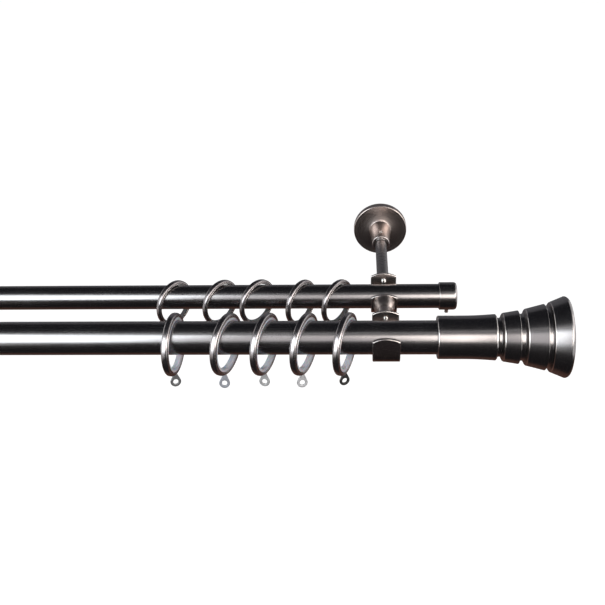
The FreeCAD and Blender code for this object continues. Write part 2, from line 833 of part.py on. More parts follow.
def ring_frame(spot, sizes, pole_radius, y):
    """The place and the turn of a ring that hangs on its tube."""
    drop = hang_drop(sizes, pole_radius, spot.swing)
    turn = FreeCAD.Rotation(UPRIGHT, spot.swing.value) * FreeCAD.Rotation(ALONG, -spot.roll.value)
    return spot.along, y, -drop, turn


def ring_shell(label, sizes, where):
    """The ring's metal channel: a rounded crown with a flange on each side, open inwards."""
    body = new_body(label)
    outside = sizes.outside / 2
    side = sizes.width / 2
    inner = outside - sizes.flange
    floor = outside - shell_wall
    shoulder = outside - sizes.crown
    revolve(body, "channel", [
        (-side, inner),
        (-side, shoulder),
        bend(sizes.crown, sizes.crown - side, outside, left=False),
        (side - sizes.crown, outside),
        bend(sizes.crown, side, shoulder, left=False),
        (side, inner),
        (side - shell_wall, inner),
        (side - shell_wall, floor),
        (shell_wall - side, floor),
        (shell_wall - side, inner),
    ], "X")
    drill = new_sketch(body, "pin_hole", "XY_Plane")
    circle(drill, 0, 0, pin_diameter / 2 + pin_clearance)
    cut(body, "pin_hole_cut", drill, False)
    return finish(place(body, *where))


def ring_liner(label, sizes, where):
    """The plastic liner: a band that runs on the tube, with a rib that fills the channel."""
    body = new_body(label)
    outside = sizes.outside / 2
    bore = sizes.bore / 2
    rib = sizes.width / 2 - shell_wall - slip
    band = sizes.band / 2
    top = outside - shell_wall - slip
    step = outside - sizes.flange - slip
    revolve(body, "liner", [
        (-rib, top),
        (rib, top),
        (rib, step),
        (band, step),
        (band, bore + liner_lip),
        (band - liner_lip, bore),
        (liner_lip - band, bore),
        (-band, bore + liner_lip),
        (-band, step),
        (-rib, step),
    ], "X")
    room = pin_head_height + slip * 4
    start = -(outside - shell_wall - room)
    drill = new_sketch(body, "pin_room", "XY_Plane", start)
    circle(drill, 0, 0, pin_head / 2 + slip * 3)
    cut(body, "pin_room_cut", drill, False)
    return finish(place(body, *where))


def ring_eyelet(label, sizes, where, facing):
    """The eyelet under a ring: a headed pin through the ring's wall and a flat eye below it."""
    body = new_body(label)
    pin = pin_diameter / 2
    underside = shell_wall + slip
    head_top = underside + pin_head_height
    half_shoulder = eye_shoulder / 2
    profile = new_sketch(body, "pin_outline", "XZ_Plane")
    outline(profile, [
        (0, -(eye_gap + eye_shoulder)),
        (eye_thickness / 2, -(eye_gap + eye_shoulder)),
        (pin, -eye_gap),
        (pin, underside),
        (pin_head / 2, underside),
        (pin_head / 2, head_top),
        (0, head_top),
    ])
    turned = body.newObject("PartDesign::Revolution", "pin")
    turned.Profile = profile
    turned.ReferenceAxis = (profile, ["V_Axis"])
    turned.Angle = 360.0

    # The eye's sides run from its shoulder to touch its round end.
    reach_x = half_shoulder
    reach_z = eye_drop - eye_gap
    distance = root(reach_x * reach_x + reach_z * reach_z)
    radius = eye_diameter / 2
    tangent = root(distance * distance - radius * radius)
    touch_x = (reach_x * radius + reach_z * tangent) * radius / (distance * distance)
    touch_z = (reach_z * radius - reach_x * tangent) * radius / (distance * distance) - eye_drop
    plate = new_sketch(body, "eye_outline", "XZ_Plane")
    outline(plate, [
        (-half_shoulder, -eye_gap),
        (-touch_x, touch_z),
        bend(radius, -radius, -eye_drop),
        bend(radius, 0, -(eye_drop + radius)),
        bend(radius, radius, -eye_drop),
        bend(radius, touch_x, touch_z),
        (half_shoulder, -eye_gap),
    ])
    circle(plate, 0, -eye_drop, eye_hole / 2)
    pad(body, "eye", plate, eye_thickness, symmetric=True)

    x, y, z, turn = where
    swivel = FreeCAD.Rotation(UPRIGHT, facing.value)
    crown = turn.multVec(vector(0, 0, -sizes.outside / 2))
    body.Placement = FreeCAD.Placement(vector(x, y, z) + crown, turn * swivel)
    return finish(body)


def hang_rings(word, sizes, places, pole_radius, y):
    for number, spot in enumerate(places, start=1):
        where = ring_frame(spot, sizes, pole_radius, y)
        ring_shell("%s_ring_%d" % (word, number), sizes, where)
        ring_liner("%s_ring_liner_%d" % (word, number), sizes, where)
        ring_eyelet("%s_ring_eyelet_%d" % (word, number), sizes, where, spot.facing - spot.swing)


def bracket(side, x):
    """One complete bracket with its cover and fasteners."""
    wall_plate("wall_plate_" + side, x)
    rose("rose_" + side, x)
    screw_y = boss_front + rose_screw_inset
    taper = (boss_base - boss_tip) / 2
    boss_radius = boss_tip / 2 + taper * (rose_screw_inset - boss_edge) / (boss_length - boss_edge)
    radial_screw("rose_screw_" + side, x, screw_y, stem_radius + contact, boss_radius - slip * 4,
                 grub_diameter - contact * 2, False)
    stem("stem_" + side, x)
    cup("rear_cup_" + side, x, rear_y, rear_seat, rear_half, rear_corner, rear_back_height,
        rear_front_height, True)
    link("cup_link_" + side, x)
    cup("front_cup_" + side, x, front_y, front_seat, front_half, front_corner, front_back_height,
        front_front_height, False)
    cup_screws("cup_screws_" + side, x)
    lock_screws("lock_screws_" + side, x)


def tube_ends(side, tube_end, outward, rotation):
    """The finial and the end cap at one end of the tubes, with their screws."""
    collar_mouth = tube_end - socket_depth * outward
    finial("finial_" + side, collar_mouth, rotation)
    radial_screw("finial_screw_" + side, collar_mouth + finial_screw_inset * outward, front_y,
                 front_radius + contact, collar_diameter / 2 - slip * 4, grub_diameter - contact * 2, True)
    cap_outer = tube_end + (cap_end + contact) * outward
    end_cap("end_cap_" + side, cap_outer - cap_length * outward, rotation)
    radial_screw("end_cap_screw_" + side, cap_outer - cap_screw_inset * outward, rear_y,
                 rear_radius + contact, cap_diameter / 2 + cap_screw_proud, cap_screw_diameter, True)


tube("front_pole", front_diameter, front_wall, front_y)
tube("rear_pole", rear_diameter, rear_wall, rear_y)
bracket("right", as_size(0))
bracket("left", -spacing)
tube_ends("right", bracket_inset, 1, FreeCAD.Rotation())
tube_ends("left", bracket_inset - pole_length, -1, TURNED)
hang_rings("front", front_ring, front_places, front_radius, front_y)
hang_rings("rear", rear_ring, rear_places, rear_radius, rear_y)

doc.recompute()

for thing in doc.Objects:
    if "Invalid" in thing.State or "Error" in thing.State:
        raise RuntimeError("%s (%s) failed: %s" % (thing.Name, thing.Label, thing.State))

os.makedirs("parts", exist_ok=True)
for piece in pieces:
    shape = piece.Shape
    if shape.isNull() or not shape.isValid() or not shape.Solids:
        raise RuntimeError("%s has no sound shape" % piece.Label)
    shape.exportStep("parts/%s.step" % piece.Label)
print("%d pieces written" % len(pieces))
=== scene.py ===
# %% [markdown]
# # A double curtain pole in satin black nickel
# The CAD part gives the sizes and the places. This lesson dresses it: each turned, pressed or cast piece is
# made again with soft edges, and each finish gets its own node material. The frame comes first, because
# every piece rides on one of its bodies.

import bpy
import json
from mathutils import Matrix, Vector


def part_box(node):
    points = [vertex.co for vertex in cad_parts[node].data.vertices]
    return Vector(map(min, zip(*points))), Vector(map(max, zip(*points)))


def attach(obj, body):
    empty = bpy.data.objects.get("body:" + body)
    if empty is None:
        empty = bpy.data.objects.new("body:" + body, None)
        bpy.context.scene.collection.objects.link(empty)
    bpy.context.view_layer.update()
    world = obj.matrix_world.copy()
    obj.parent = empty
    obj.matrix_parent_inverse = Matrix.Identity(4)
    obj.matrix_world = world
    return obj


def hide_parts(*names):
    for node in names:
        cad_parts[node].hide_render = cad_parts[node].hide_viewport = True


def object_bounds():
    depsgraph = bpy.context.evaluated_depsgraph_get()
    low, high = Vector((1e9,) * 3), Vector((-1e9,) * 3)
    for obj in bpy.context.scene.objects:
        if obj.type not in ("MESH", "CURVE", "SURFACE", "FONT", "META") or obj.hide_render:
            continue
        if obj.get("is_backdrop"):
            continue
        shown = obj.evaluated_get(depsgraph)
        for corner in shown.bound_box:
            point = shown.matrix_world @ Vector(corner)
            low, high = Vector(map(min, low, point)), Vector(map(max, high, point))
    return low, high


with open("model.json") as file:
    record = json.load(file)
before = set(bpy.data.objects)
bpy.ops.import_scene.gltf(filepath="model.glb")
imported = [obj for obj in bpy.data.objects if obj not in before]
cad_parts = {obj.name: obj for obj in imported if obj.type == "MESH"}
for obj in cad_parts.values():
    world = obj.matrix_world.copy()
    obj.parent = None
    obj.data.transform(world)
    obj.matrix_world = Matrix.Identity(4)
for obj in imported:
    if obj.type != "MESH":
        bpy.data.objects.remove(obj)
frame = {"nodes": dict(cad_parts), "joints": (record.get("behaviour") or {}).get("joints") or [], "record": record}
cad_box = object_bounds()
print("CAD box in metres:", [round(high - low, 4) for low, high in zip(*cad_box)])

# %% [markdown]
# ## Camera
# A product shot is easiest to match when the camera is measured and not guessed. A pinhole camera was fitted
# to the edges of both tubes, so its place, its three angles and its lens are plain numbers here.

# %% The camera
import math

import bmesh
import bpy
from mathutils import Matrix, Vector

CAMERA_PLACE = Vector((-0.02308, -0.79733, 0.39372))
CAMERA_DOWN = math.radians(30.538)
CAMERA_LEFT = math.radians(3.461)
CAMERA_ROLL = math.radians(2.01)
SENSOR = 36.0
LENS = 59.19


def level_axes(left, down):
    """Forward, right and up of a camera that is turned left and tipped down, without roll."""
    forward = Vector((-math.sin(left) * math.cos(down), math.cos(left) * math.cos(down), -math.sin(down)))
    right = forward.cross(Vector((0, 0, 1))).normalized()
    return forward, right, right.cross(forward)


def new_object(name, data):
    """An object of the scene that carries the data."""
    made = bpy.data.objects.new(name, data)
    bpy.context.scene.collection.objects.link(made)
    return made


def columns(x_axis, y_axis, z_axis, place):
    """A matrix from three axes and a place."""
    matrix = Matrix((x_axis, y_axis, z_axis)).transposed().to_4x4()
    matrix.translation = place
    return matrix


forward, right, up = level_axes(CAMERA_LEFT, CAMERA_DOWN)
rolled_right = right * math.cos(CAMERA_ROLL) - up * math.sin(CAMERA_ROLL)
rolled_up = right * math.sin(CAMERA_ROLL) + up * math.cos(CAMERA_ROLL)
camera = new_object("camera", bpy.data.cameras.new("camera"))
camera.data.sensor_width = SENSOR
camera.data.lens = LENS
camera.data.clip_start = 0.05
camera.data.clip_end = 60
camera.matrix_world = columns(rolled_right, rolled_up, -forward, CAMERA_PLACE)
bpy.context.scene.camera = camera
bpy.context.scene.view_settings.view_transform = "Standard"
print("camera at", [round(value, 3) for value in CAMERA_PLACE], "with a lens of", LENS, "mm")

# %% [markdown]
# ## Node trees in a few words
# Every finish below is a tree of nodes, and so are two of the shapes. A short helper class keeps the wiring
# readable: `node` adds a node and sets or links its inputs, `join` links two sockets, and `maths` does a sum.
# A shape's tree has named inputs, and it ends by realizing its instances and setting its finish.


# %% Helpers for node trees
class Wiring:
    """Adds nodes to a tree and links them."""

    def node(self, kind, inputs=None, **settings):
        """A new node. Each input is a plain value or a (node, output) pair that is linked to it."""
        family = "" if kind.startswith(("GeometryNode", "NodeGroup")) else "ShaderNode"
        made = self.tree.nodes.new(family + kind)
        for key, value in settings.items():
            setattr(made, key, value)
        for key, value in (inputs or {}).items():
            if isinstance(value, tuple) and isinstance(value[0], bpy.types.Node):
                self.join(*value, made, key)
            else:
                made.inputs[key].default_value = value
        return made

    def join(self, source, output, target, socket):
        self.tree.links.new(source.outputs[output], target.inputs[socket])

    def maths(self, operation, *values):
        """A Math node on one or two inputs."""
        return self.node("Math", dict(enumerate(values)), operation=operation)

    def ramp(self, source, output, low, high):
        """Stretches a noise between two plain values."""
        ends = {"From Min": 0.3, "From Max": 0.7, "To Min": low, "To Max": high}
        return self.node("MapRange", {**ends, "Value": (source, output)})


class Finish(Wiring):
    """One material and its node tree."""

    def __init__(self, name):
        self.material = bpy.data.materials.new(name)
        self.material.use_nodes = True
        self.tree = self.material.node_tree
        self.tree.nodes.clear()
        self.output = self.node("OutputMaterial")


class ShapeTree(Wiring):
    """A Geometry Nodes tree with named inputs, the first of which is the shape that comes in."""

    def __init__(self, name, inputs):
        self.tree = bpy.data.node_groups.new(name, "GeometryNodeTree")
        for word, kind in inputs.items():
            self.tree.interface.new_socket(word, in_out="INPUT", socket_type="NodeSocket" + kind)
        self.tree.interface.new_socket("Result", in_out="OUTPUT", socket_type="NodeSocketGeometry")
        self.given = self.node("NodeGroupInput")

    def sweep(self, path, section, caps):
        """Carries a section along a path that stays upright, with or without caps."""
        upright = self.node("GeometryNodeSetCurveNormal", {"Curve": (path, "Curve")}, mode="Z_UP")
        curves = {"Curve": (upright, "Curve"), "Profile Curve": (section, "Curve")}
        return self.node("GeometryNodeCurveToMesh", {**curves, "Fill Caps": caps})

    def end(self, source):
        """Closes the tree after the node that holds its shape."""
        real = self.node("GeometryNodeRealizeInstances", {"Geometry": (source, "Geometry")})
        paint = self.node("GeometryNodeSetMaterial", {
            "Geometry": (real, "Geometry"), "Material": (self.given, "Finish"),
        })
        self.node("NodeGroupOutput", {"Result": (paint, "Geometry")})
        return self.tree


print("node helpers ready")

# %% [markdown]
# ## Stage and light
# Metal shows what surrounds it. In the photo two soft boxes stand left and right of the camera, a cool one
# and a warm one, with a dimmer gap between them: the white band on the tubes is weaker in the middle. Dark
# cards above, below and in front carve that band between two black ones, as in a studio. Only reflections see
# them. A brown one below gives the warm line under each tube, grey ones stand behind and at the left, and a
# bright one at the right lights the rims. The floor and the world are white to the camera.

# %% Floor, world and cards
FLOOR_Z = -0.62
FLOOR_HALF = 14.0


def level(left, right, front, back, z):
    """The corners of a level rectangle."""
    return [(left, front, z), (right, front, z), (right, back, z), (left, back, z)]


def sheet_of(name, corners, material):
    """A flat four-cornered stage piece."""
    mesh = bpy.data.meshes.new(name)
    mesh.from_pydata(corners, [], [(0, 1, 2, 3)])
    mesh.materials.append(material)
    made = new_object(name, mesh)
    made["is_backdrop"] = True
    return made


def seen_rays(wiring):
    """Camera, glossy and transmission rays as one 0 or 1 value."""
    path = wiring.node("LightPath")
    both = wiring.maths("MAXIMUM", (path, "Is Camera Ray"), (path, "Is Glossy Ray"))
    return wiring.maths("MAXIMUM", (both, "Value"), (path, "Is Transmission Ray"))


class WorldFinish(Wiring):
    """The same helper on the world's own tree."""

    def __init__(self, world):
        world.use_nodes = True
        self.tree = world.node_tree
        self.tree.nodes.clear()
        self.output = self.node("OutputWorld")


WORLD_FILL = 0.42
PAPER = (0.86, 0.86, 0.86, 1)
PAPER_GLOW = 0.62
world = bpy.data.worlds.new("studio")
bpy.context.scene.world = world
sky = WorldFinish(world)
sky_light = sky.node("Background", {"Color": (1, 1, 1, 1)})
sky_strength = sky.node("MapRange", {
    "To Min": WORLD_FILL, "To Max": 1.0, "Value": (seen_rays(sky), "Value"),
})
sky.join(sky_strength, "Result", sky_light, "Strength")
sky.join(sky_light, "Background", sky.output, "Surface")

floor_finish = Finish("floor_paper")
plain = {"Base Color": PAPER, "Roughness": 0.9, "Emission Color": (1, 1, 1, 1)}
paper = floor_finish.node("BsdfPrincipled", plain)
paper_glow = floor_finish.node("MapRange", {
    "To Min": 0.0, "To Max": PAPER_GLOW, "Value": (seen_rays(floor_finish), "Value"),
})
floor_finish.join(paper_glow, "Result", paper, "Emission Strength")
floor_finish.join(paper, "BSDF", floor_finish.output, "Surface")
floor_corners = level(-FLOOR_HALF, FLOOR_HALF, -FLOOR_HALF, FLOOR_HALF, FLOOR_Z)
sheet_of("floor", floor_corners, floor_finish.material)


def card(name, colour, corners):
    """A card of an even brightness that only reflections see."""
    finish = Finish(name + "_cloth")
    glow = finish.node("Emission", {"Color": (*colour, 1), "Strength": 1.0})
    finish.join(glow, "Emission", finish.output, "Surface")
    made = sheet_of(name, corners, finish.material)
    for rays in ("camera", "diffuse", "transmission", "shadow"):
        setattr(made, "visible_" + rays, False)


CARD_LEFT = -1.7
CARD_RIGHT = 0.9
CARD_BACK = 1.3
CARD_FRONT = -1.75
CARD_TOP = 0.95
CARD_BOTTOM = -0.4
TOP_FRONT = -0.62
DARK_LEFT = -0.85
BROWN_FRONT = -0.2
BROWN_BACK = 0.35
FRONT_TOP = 0.1
ROUND_TOP = 3.0
LIGHT_Y = -0.656
RIM_BACK = 0.25
RIM_LOW = 0.08
RIM_HIGH = 0.5


def level_card(name, colour, left, right, front, back, height=CARD_BOTTOM):
    card(name, colour, level(left, right, front, back, height))


def upright_card(name, colour, left, right, y, low, high):
    card(name, colour, [(left, y, low), (right, y, low), (right, y, high), (left, y, high)])


level_card("card_above", (0.02, 0.021, 0.026), CARD_LEFT, CARD_RIGHT, TOP_FRONT, CARD_BACK, CARD_TOP)
level_card("card_below_front", (0.02, 0.018, 0.02), DARK_LEFT, CARD_RIGHT, CARD_FRONT, BROWN_FRONT)
level_card("card_below", (0.13, 0.068, 0.053), DARK_LEFT, CARD_RIGHT, BROWN_FRONT, BROWN_BACK)
level_card("card_below_back", (0.15, 0.14, 0.15), DARK_LEFT, CARD_RIGHT, BROWN_BACK, CARD_BACK)
level_card("card_below_left", (0.55, 0.5, 0.48), CARD_LEFT, DARK_LEFT, CARD_FRONT, CARD_BACK)
upright_card("card_behind", (0.17, 0.17, 0.185), CARD_LEFT, CARD_RIGHT, CARD_BACK, CARD_BOTTOM, CARD_TOP)
upright_card("card_in_front", (0.03, 0.028, 0.03), DARK_LEFT, CARD_RIGHT, CARD_FRONT, CARD_BOTTOM, FRONT_TOP)
upright_card("card_round_lights", (0.22, 0.22, 0.23), CARD_LEFT, CARD_RIGHT, CARD_FRONT, FRONT_TOP, ROUND_TOP)
rim_places = ((LIGHT_Y, RIM_LOW), (RIM_BACK, RIM_LOW), (RIM_BACK, RIM_HIGH), (LIGHT_Y, RIM_HIGH))
card("card_right", (3.0, 2.9, 2.8), [(CARD_RIGHT, y, z) for y, z in rim_places])


def soft_light(name, place, aim, width, height, radiance, tint):
    """An area light of a plain brightness per area, turned to its aim and hidden from the camera."""
    lamp = bpy.data.lights.new(name, "AREA")
    lamp.shape = "RECTANGLE"
    lamp.size = width
    lamp.size_y = height
    lamp.color = tint
    lamp.energy = radiance * math.pi * width * height
    made = new_object(name, lamp)
    made.matrix_world = (aim - place).to_track_quat("-Z", "Y").to_matrix().to_4x4()
    made.location = place
    made.visible_camera = False


AIM_Y = -0.17
HALO_SHIFT = Vector((0, -0.03, 0.02))
HALO_HEIGHT = 0.48
for name, middle, up, width, height, radiance, halo, tint in (
    ("left_light", -0.535, 0.29, 0.57, 0.58, 4.0, 0.8, (0.9, 0.965, 1.0)),
    ("centre_light", -0.115, 0.26, 0.27, 0.35, 0.86, 0.0, (1.0, 0.95, 0.96)),
    ("right_light", 0.39, 0.30, 0.74, 0.42, 4.3, 0.2, (1.0, 0.94, 0.885)),
):
    place = Vector((middle, LIGHT_Y, up))
    aim = Vector((middle * 0.5 - 0.05, AIM_Y, 0.0))
    soft_light(name, place, aim, width, height, radiance, tint)
    if halo > 0:
        soft_light(name + "_halo", place + HALO_SHIFT, aim, width, HALO_HEIGHT, halo, tint)
print("stage and light ready")

# %% [markdown]
# ## Satin metal
# Satin black nickel is a thin dark plating over a brushed surface. The brushing is too fine to model, so
# noise that is stretched along the grain moves the roughness and a slight bump. On the tubes the grain runs
# lengthwise and is read from Object coordinates. A turned piece is brushed round its own axis, so its mesh
# carries two attributes, the place along that axis and the distance from it.


# %% Metal finishes
WORN_GLOSS = -0.08
GRAIN_BUMP = 0.35


def grain_along(finish, stretch):
    """Coordinates for a grain that runs along X."""
    coordinates = finish.node("TexCoord")
    mapping = finish.node("Mapping", {"Scale": stretch, "Vector": (coordinates, "Object")})
    return mapping, "Vector"


def grain_turned(finish, stretch):
    """Coordinates for a grain that runs round a turned piece."""
    across = finish.node("Attribute", attribute_name="turn_across")
    out = finish.node("Attribute", attribute_name="turn_out")
    pair = finish.node("CombineXYZ", {"X": (across, "Fac"), "Y": (out, "Fac")})
    mapping = finish.node("Mapping", {"Scale": stretch, "Vector": (pair, "Vector")})
    return mapping, "Vector"


def satin_metal(name, colour, roughness, grain, stretch, worn=None, spread=0.025, depth=0.000004,
                metallic=1.0):
    """A plated metal with a grain, a slow change of tone and, where given, an edge colour: worn plating with a
    painted highlight on the nickel, a darker rim on the eyelets.
    """
    finish = Finish(name)
    shader = finish.node("BsdfPrincipled", {"Metallic": metallic, "Base Color": (*colour, 1)})
    finish.join(shader, "BSDF", finish.output, "Surface")
    source, output = grain(finish, stretch)
    streaks = finish.node("TexNoise", {
        "Scale": 1.0, "Detail": 3.0, "Roughness": 0.6, "Vector": (source, output),
    })
    coordinates = finish.node("TexCoord")
    clouds = finish.node("TexNoise", {"Scale": 38.0, "Detail": 3.0, "Vector": (coordinates, "Object")})
    fine = finish.ramp(streaks, "Fac", -spread, spread)
    slow = finish.ramp(clouds, "Fac", roughness - spread / 2, roughness + spread / 2)
    total = finish.maths("ADD", (fine, "Result"), (slow, "Result"))
    light_tone = tuple(min(1.0, value * 1.06) for value in colour)
    dark_tone = tuple(value * 0.94 for value in colour)
    mixed = finish.maths("ADD", (streaks, "Fac"), (clouds, "Fac"))
    half = finish.maths("MULTIPLY", (mixed, "Value"), 0.5)
    tones = {"Color1": (*dark_tone, 1), "Color2": (*light_tone, 1)}
    tone = finish.node("MixRGB", {**tones, "Fac": (half, "Value")})
    last = tone
    # Edge wear and painted highlight: convex edges take the edge colour, partly worn plating, partly light caught
    # on the rounded edges.
    if worn is not None:
        edge = finish.node("Attribute", attribute_name="worn")
        patchy = finish.ramp(clouds, "Fac", 0.6, 1.0)
        share = finish.maths("MULTIPLY", (edge, "Fac"), (patchy, "Result"))
        last = finish.node("MixRGB", {
            "Color2": (*worn, 1), "Fac": (share, "Value"), "Color1": (tone, "Color"),
        })
        smoother = finish.maths("MULTIPLY", (share, "Value"), WORN_GLOSS)
        total = finish.maths("ADD", (total, "Value"), (smoother, "Value"))
    finish.join(last, "Color", shader, "Base Color")
    finish.join(total, "Value", shader, "Roughness")
    bump = finish.node("Bump", {"Strength": GRAIN_BUMP, "Distance": depth, "Height": (streaks, "Fac")})
    finish.join(bump, "Normal", shader, "Normal")
    return finish.material


NICKEL = (0.30, 0.287, 0.287)
# Edge colour: partly worn plating, partly a painted highlight for light caught on rounded edges.
NICKEL_EDGE_SHEEN_AND_WEAR = (0.86, 0.82, 0.80)
LIGHT_WARM = (0.52, 0.45, 0.42)
BRIGHT = (0.375, 0.35, 0.354)
tube_finish = satin_metal("satin_tube", NICKEL, 0.25, grain_along, (9, 1500, 1500))
finial_finish = satin_metal("satin_turned", NICKEL, 0.245, grain_turned, (1400, 1400, 1), NICKEL_EDGE_SHEEN_AND_WEAR, 0.01)
rose_finish = satin_metal("satin_spun", (0.43, 0.37, 0.345), 0.29, grain_turned, (1300, 1300, 1), NICKEL_EDGE_SHEEN_AND_WEAR)
stem_finish = satin_metal("satin_rod", NICKEL, 0.28, grain_turned, (1300, 1300, 1), NICKEL_EDGE_SHEEN_AND_WEAR)
link_finish = satin_metal("satin_bell", LIGHT_WARM, 0.33, grain_turned, (1300, 1300, 1), NICKEL_EDGE_SHEEN_AND_WEAR)
cup_finish = satin_metal("satin_cast", (0.34, 0.275, 0.25), 0.25, grain_along, (500, 500, 500), NICKEL_EDGE_SHEEN_AND_WEAR,
                         spread=0.015, depth=0.0000012)
ring_finish = satin_metal("bright_ring", BRIGHT, 0.25, grain_turned, (1600, 1600, 1), NICKEL_EDGE_SHEEN_AND_WEAR,
                          depth=0.000001)
screw_finish = satin_metal("zinc_screw", (0.72, 0.72, 0.71), 0.24, grain_along, (600, 600, 600))
plate_finish = satin_metal("zinc_plate", (0.55, 0.55, 0.54), 0.4, grain_along, (260, 260, 260))
# Painted reflection: the five eyelets are one pressed metal; each gets its own tone, metalness and darker rim to
# stand in for what its flat faces mirror.
EYELET_PAINTED_REFLECTIONS = {
    1: ((0.42, 0.42, 0.43), 0.9),
    2: ((0.56, 0.58, 0.645), 0.75),
    3: ((0.60, 0.60, 0.61), 0.6),
    4: ((0.72, 0.72, 0.74), 0.55),
    5: ((0.13, 0.125, 0.125), 0.95),
}
RIM_SHARE = 0.45
eyelet_reflection_finishes = {}
for number, (tone, metallic) in EYELET_PAINTED_REFLECTIONS.items():
    rim = tuple(value * RIM_SHARE for value in tone)
    eyelet_reflection_finishes[number] = satin_metal("pressed_eyelet_%d" % number, tone, 0.4, grain_along,
                                          (700, 700, 700), rim, metallic=metallic)
print(len(bpy.data.materials), "materials so far")

# %% [markdown]
# ## Nylon liner
# The ring's liner is a milky nylon band. A little subsurface light and a soft gloss are enough; faint marks
# where it rubs on the tube break up the surface. Past a place across the ring its shoulders are painted
# darker: painted shade and reflection of the dark metal beside them.


# %% Liner finish
SHOULDER_SHADE_SHARE = 0.85
SHOULDER_BLEND = 0.0003


def milky_nylon(name, low, high, shoulder):
    """A milky plastic whose shoulders, past the given place across the ring, are a little darker: painted shade.
    """
    finish = Finish(name)
    gloss = {"Roughness": 0.34, "Subsurface Weight": 0.3, "Subsurface Scale": 0.001}
    nylon = finish.node("BsdfPrincipled", gloss)
    place = finish.node("TexCoord")
    marks = finish.node("TexNoise", {"Scale": 260.0, "Detail": 4.0, "Vector": (place, "Object")})
    tone = finish.node("MixRGB", {"Color1": (*low, 1), "Color2": (*high, 1), "Fac": (marks, "Fac")})
    across = finish.node("Attribute", attribute_name="turn_across")
    aside = finish.maths("ABSOLUTE", (across, "Fac"))
    # Painted shade: the shoulders past this place take a darker share of the colour.
    edge = finish.node("MapRange", {
        "From Min": shoulder, "From Max": shoulder + SHOULDER_BLEND, "Value": (aside, "Value"),
    })
    dark = (*(value * SHOULDER_SHADE_SHARE for value in low), 1)
    last = finish.node("MixRGB", {"Color1": (tone, "Color"), "Color2": dark, "Fac": (edge, "Result")})
    finish.join(last, "Color", nylon, "Base Color")
    bump = finish.node("Bump", {"Strength": 0.3, "Distance": 0.00004, "Height": (marks, "Fac")})
    finish.join(bump, "Normal", nylon, "Normal")
    finish.join(nylon, "BSDF", finish.output, "Surface")
    return finish.material


liner_finishes = {
    "front": milky_nylon("milky_nylon", (0.52, 0.53, 0.595), (0.62, 0.63, 0.69), 0.0017),
    "rear": milky_nylon("smoky_nylon", (0.12, 0.125, 0.13), (0.18, 0.18, 0.19), 0.0012),
}
print("liner finishes ready")

# %% [markdown]
# ## Turned pieces
# Finials, roses, caps, links and stems come off a lathe. Their outline is a closed line of corners, given as
# place along the axis, radius and rounding. The rounding matters most: real edges are never sharp, and the
# thin bright lines in the photo are light caught on them.


# %% The lathe
def spun(spoke, angle):
    """A flat vector, turned by an angle."""
    return Vector((
        spoke.x * math.cos(angle) - spoke.y * math.sin(angle),
        spoke.x * math.sin(angle) + spoke.y * math.cos(angle),
    ))


def softened(corners):
    """Points of a closed outline with its corners rounded, each with a share of edge wear and painted highlight.
    """
    points = []
    count = len(corners)
    area = sum(corners[n - 1][0] * corners[n][1] - corners[n][0] * corners[n - 1][1] for n in range(count))
    for number, corner in enumerate(corners):
        here = Vector(corner[:2])
        rounding = corner[2] if len(corner) > 2 else 0.0
        before = Vector(corners[number - 1][:2]) - here
        after = Vector(corners[(number + 1) % count][:2]) - here
        if rounding <= 0:
            points.append((here.x, here.y, 0.0))
            continue
        half = before.angle(after) / 2
        reach = min(rounding / math.tan(half), before.length * 0.48, after.length * 0.48)
        radius = reach * math.tan(half)
        bisector = (before.normalized() + after.normalized()).normalized()
        centre = here + bisector * (radius / math.sin(half))
        start = here + before.normalized() * reach - centre
        end = here + after.normalized() * reach - centre
        turn = start.angle_signed(end)
        turned_out = before.cross(after) * area < 0
        steps = max(2, round(abs(turn) / math.radians(15)))
        for step in range(steps + 1):
            spoke = spun(start, -turn * step / steps)
            edge_sheen_and_wear = math.sin(math.pi * step / steps) if turned_out else 0.0
            points.append((centre.x + spoke.x, centre.y + spoke.y, edge_sheen_and_wear))
    return points


def arc(start, end, radius, steps, left=True):
    """Points after the start of a shallow arc between two points."""
    start = Vector(start)
    chord = Vector(end) - start
    across = Vector((-chord.y, chord.x)).normalized()
    rise = math.sqrt(max(radius * radius - chord.length_squared / 4, 0.0))
    centre = start + chord / 2 + across * (rise if left else -rise)
    first = start - centre
    turn = math.asin(min(1.0, chord.length / 2 / radius)) * 2 * (1 if left else -1)
    points = []
    for step in range(1, steps):
        spoke = spun(first, turn * step / steps)
        points.append((centre.x + spoke.x, centre.y + spoke.y))
    return points


def store(mesh, word, values):
    """Keeps one number for each point of a mesh."""
    mesh.attributes.new(word, "FLOAT", "POINT").data.foreach_set("value", values)


def lathe_mesh(name, corners, matrix, segments=128):
    """Turns a closed outline of (along, radius) round the X axis and puts it in place."""
    outline = softened(corners)
    places = []
    edge_sheen_and_wear = []
    rings = []
    for along, radius, worn in outline:
        if radius < 1e-7:
            rings.append([len(places)])
            places.append((along, 0.0, 0.0))
            edge_sheen_and_wear.append((along, 0.0, worn))
            continue
        rings.append(list(range(len(places), len(places) + segments)))
        for step in range(segments):
            angle = 2 * math.pi * step / segments
            places.append((along, radius * math.cos(angle), radius * math.sin(angle)))
            edge_sheen_and_wear.append((along, radius, worn))
    faces = []
    for number, ring in enumerate(rings):
        following = rings[(number + 1) % len(rings)]
        if len(ring) == 1 and len(following) == 1:
            continue
        for step in range(segments):
            after = (step + 1) % segments
            if len(ring) == 1:
                faces.append((ring[0], following[after], following[step]))
            elif len(following) == 1:
                faces.append((ring[step], ring[after], following[0]))
            else:
                faces.append((ring[step], ring[after], following[after], following[step]))
    mesh = bpy.data.meshes.new(name)
    mesh.from_pydata(places, [], faces)
    for word, column in (("turn_across", 0), ("turn_out", 1), ("worn", 2)):
        store(mesh, word, [float(row[column]) for row in edge_sheen_and_wear])
    mesh.transform(matrix)
    return mesh


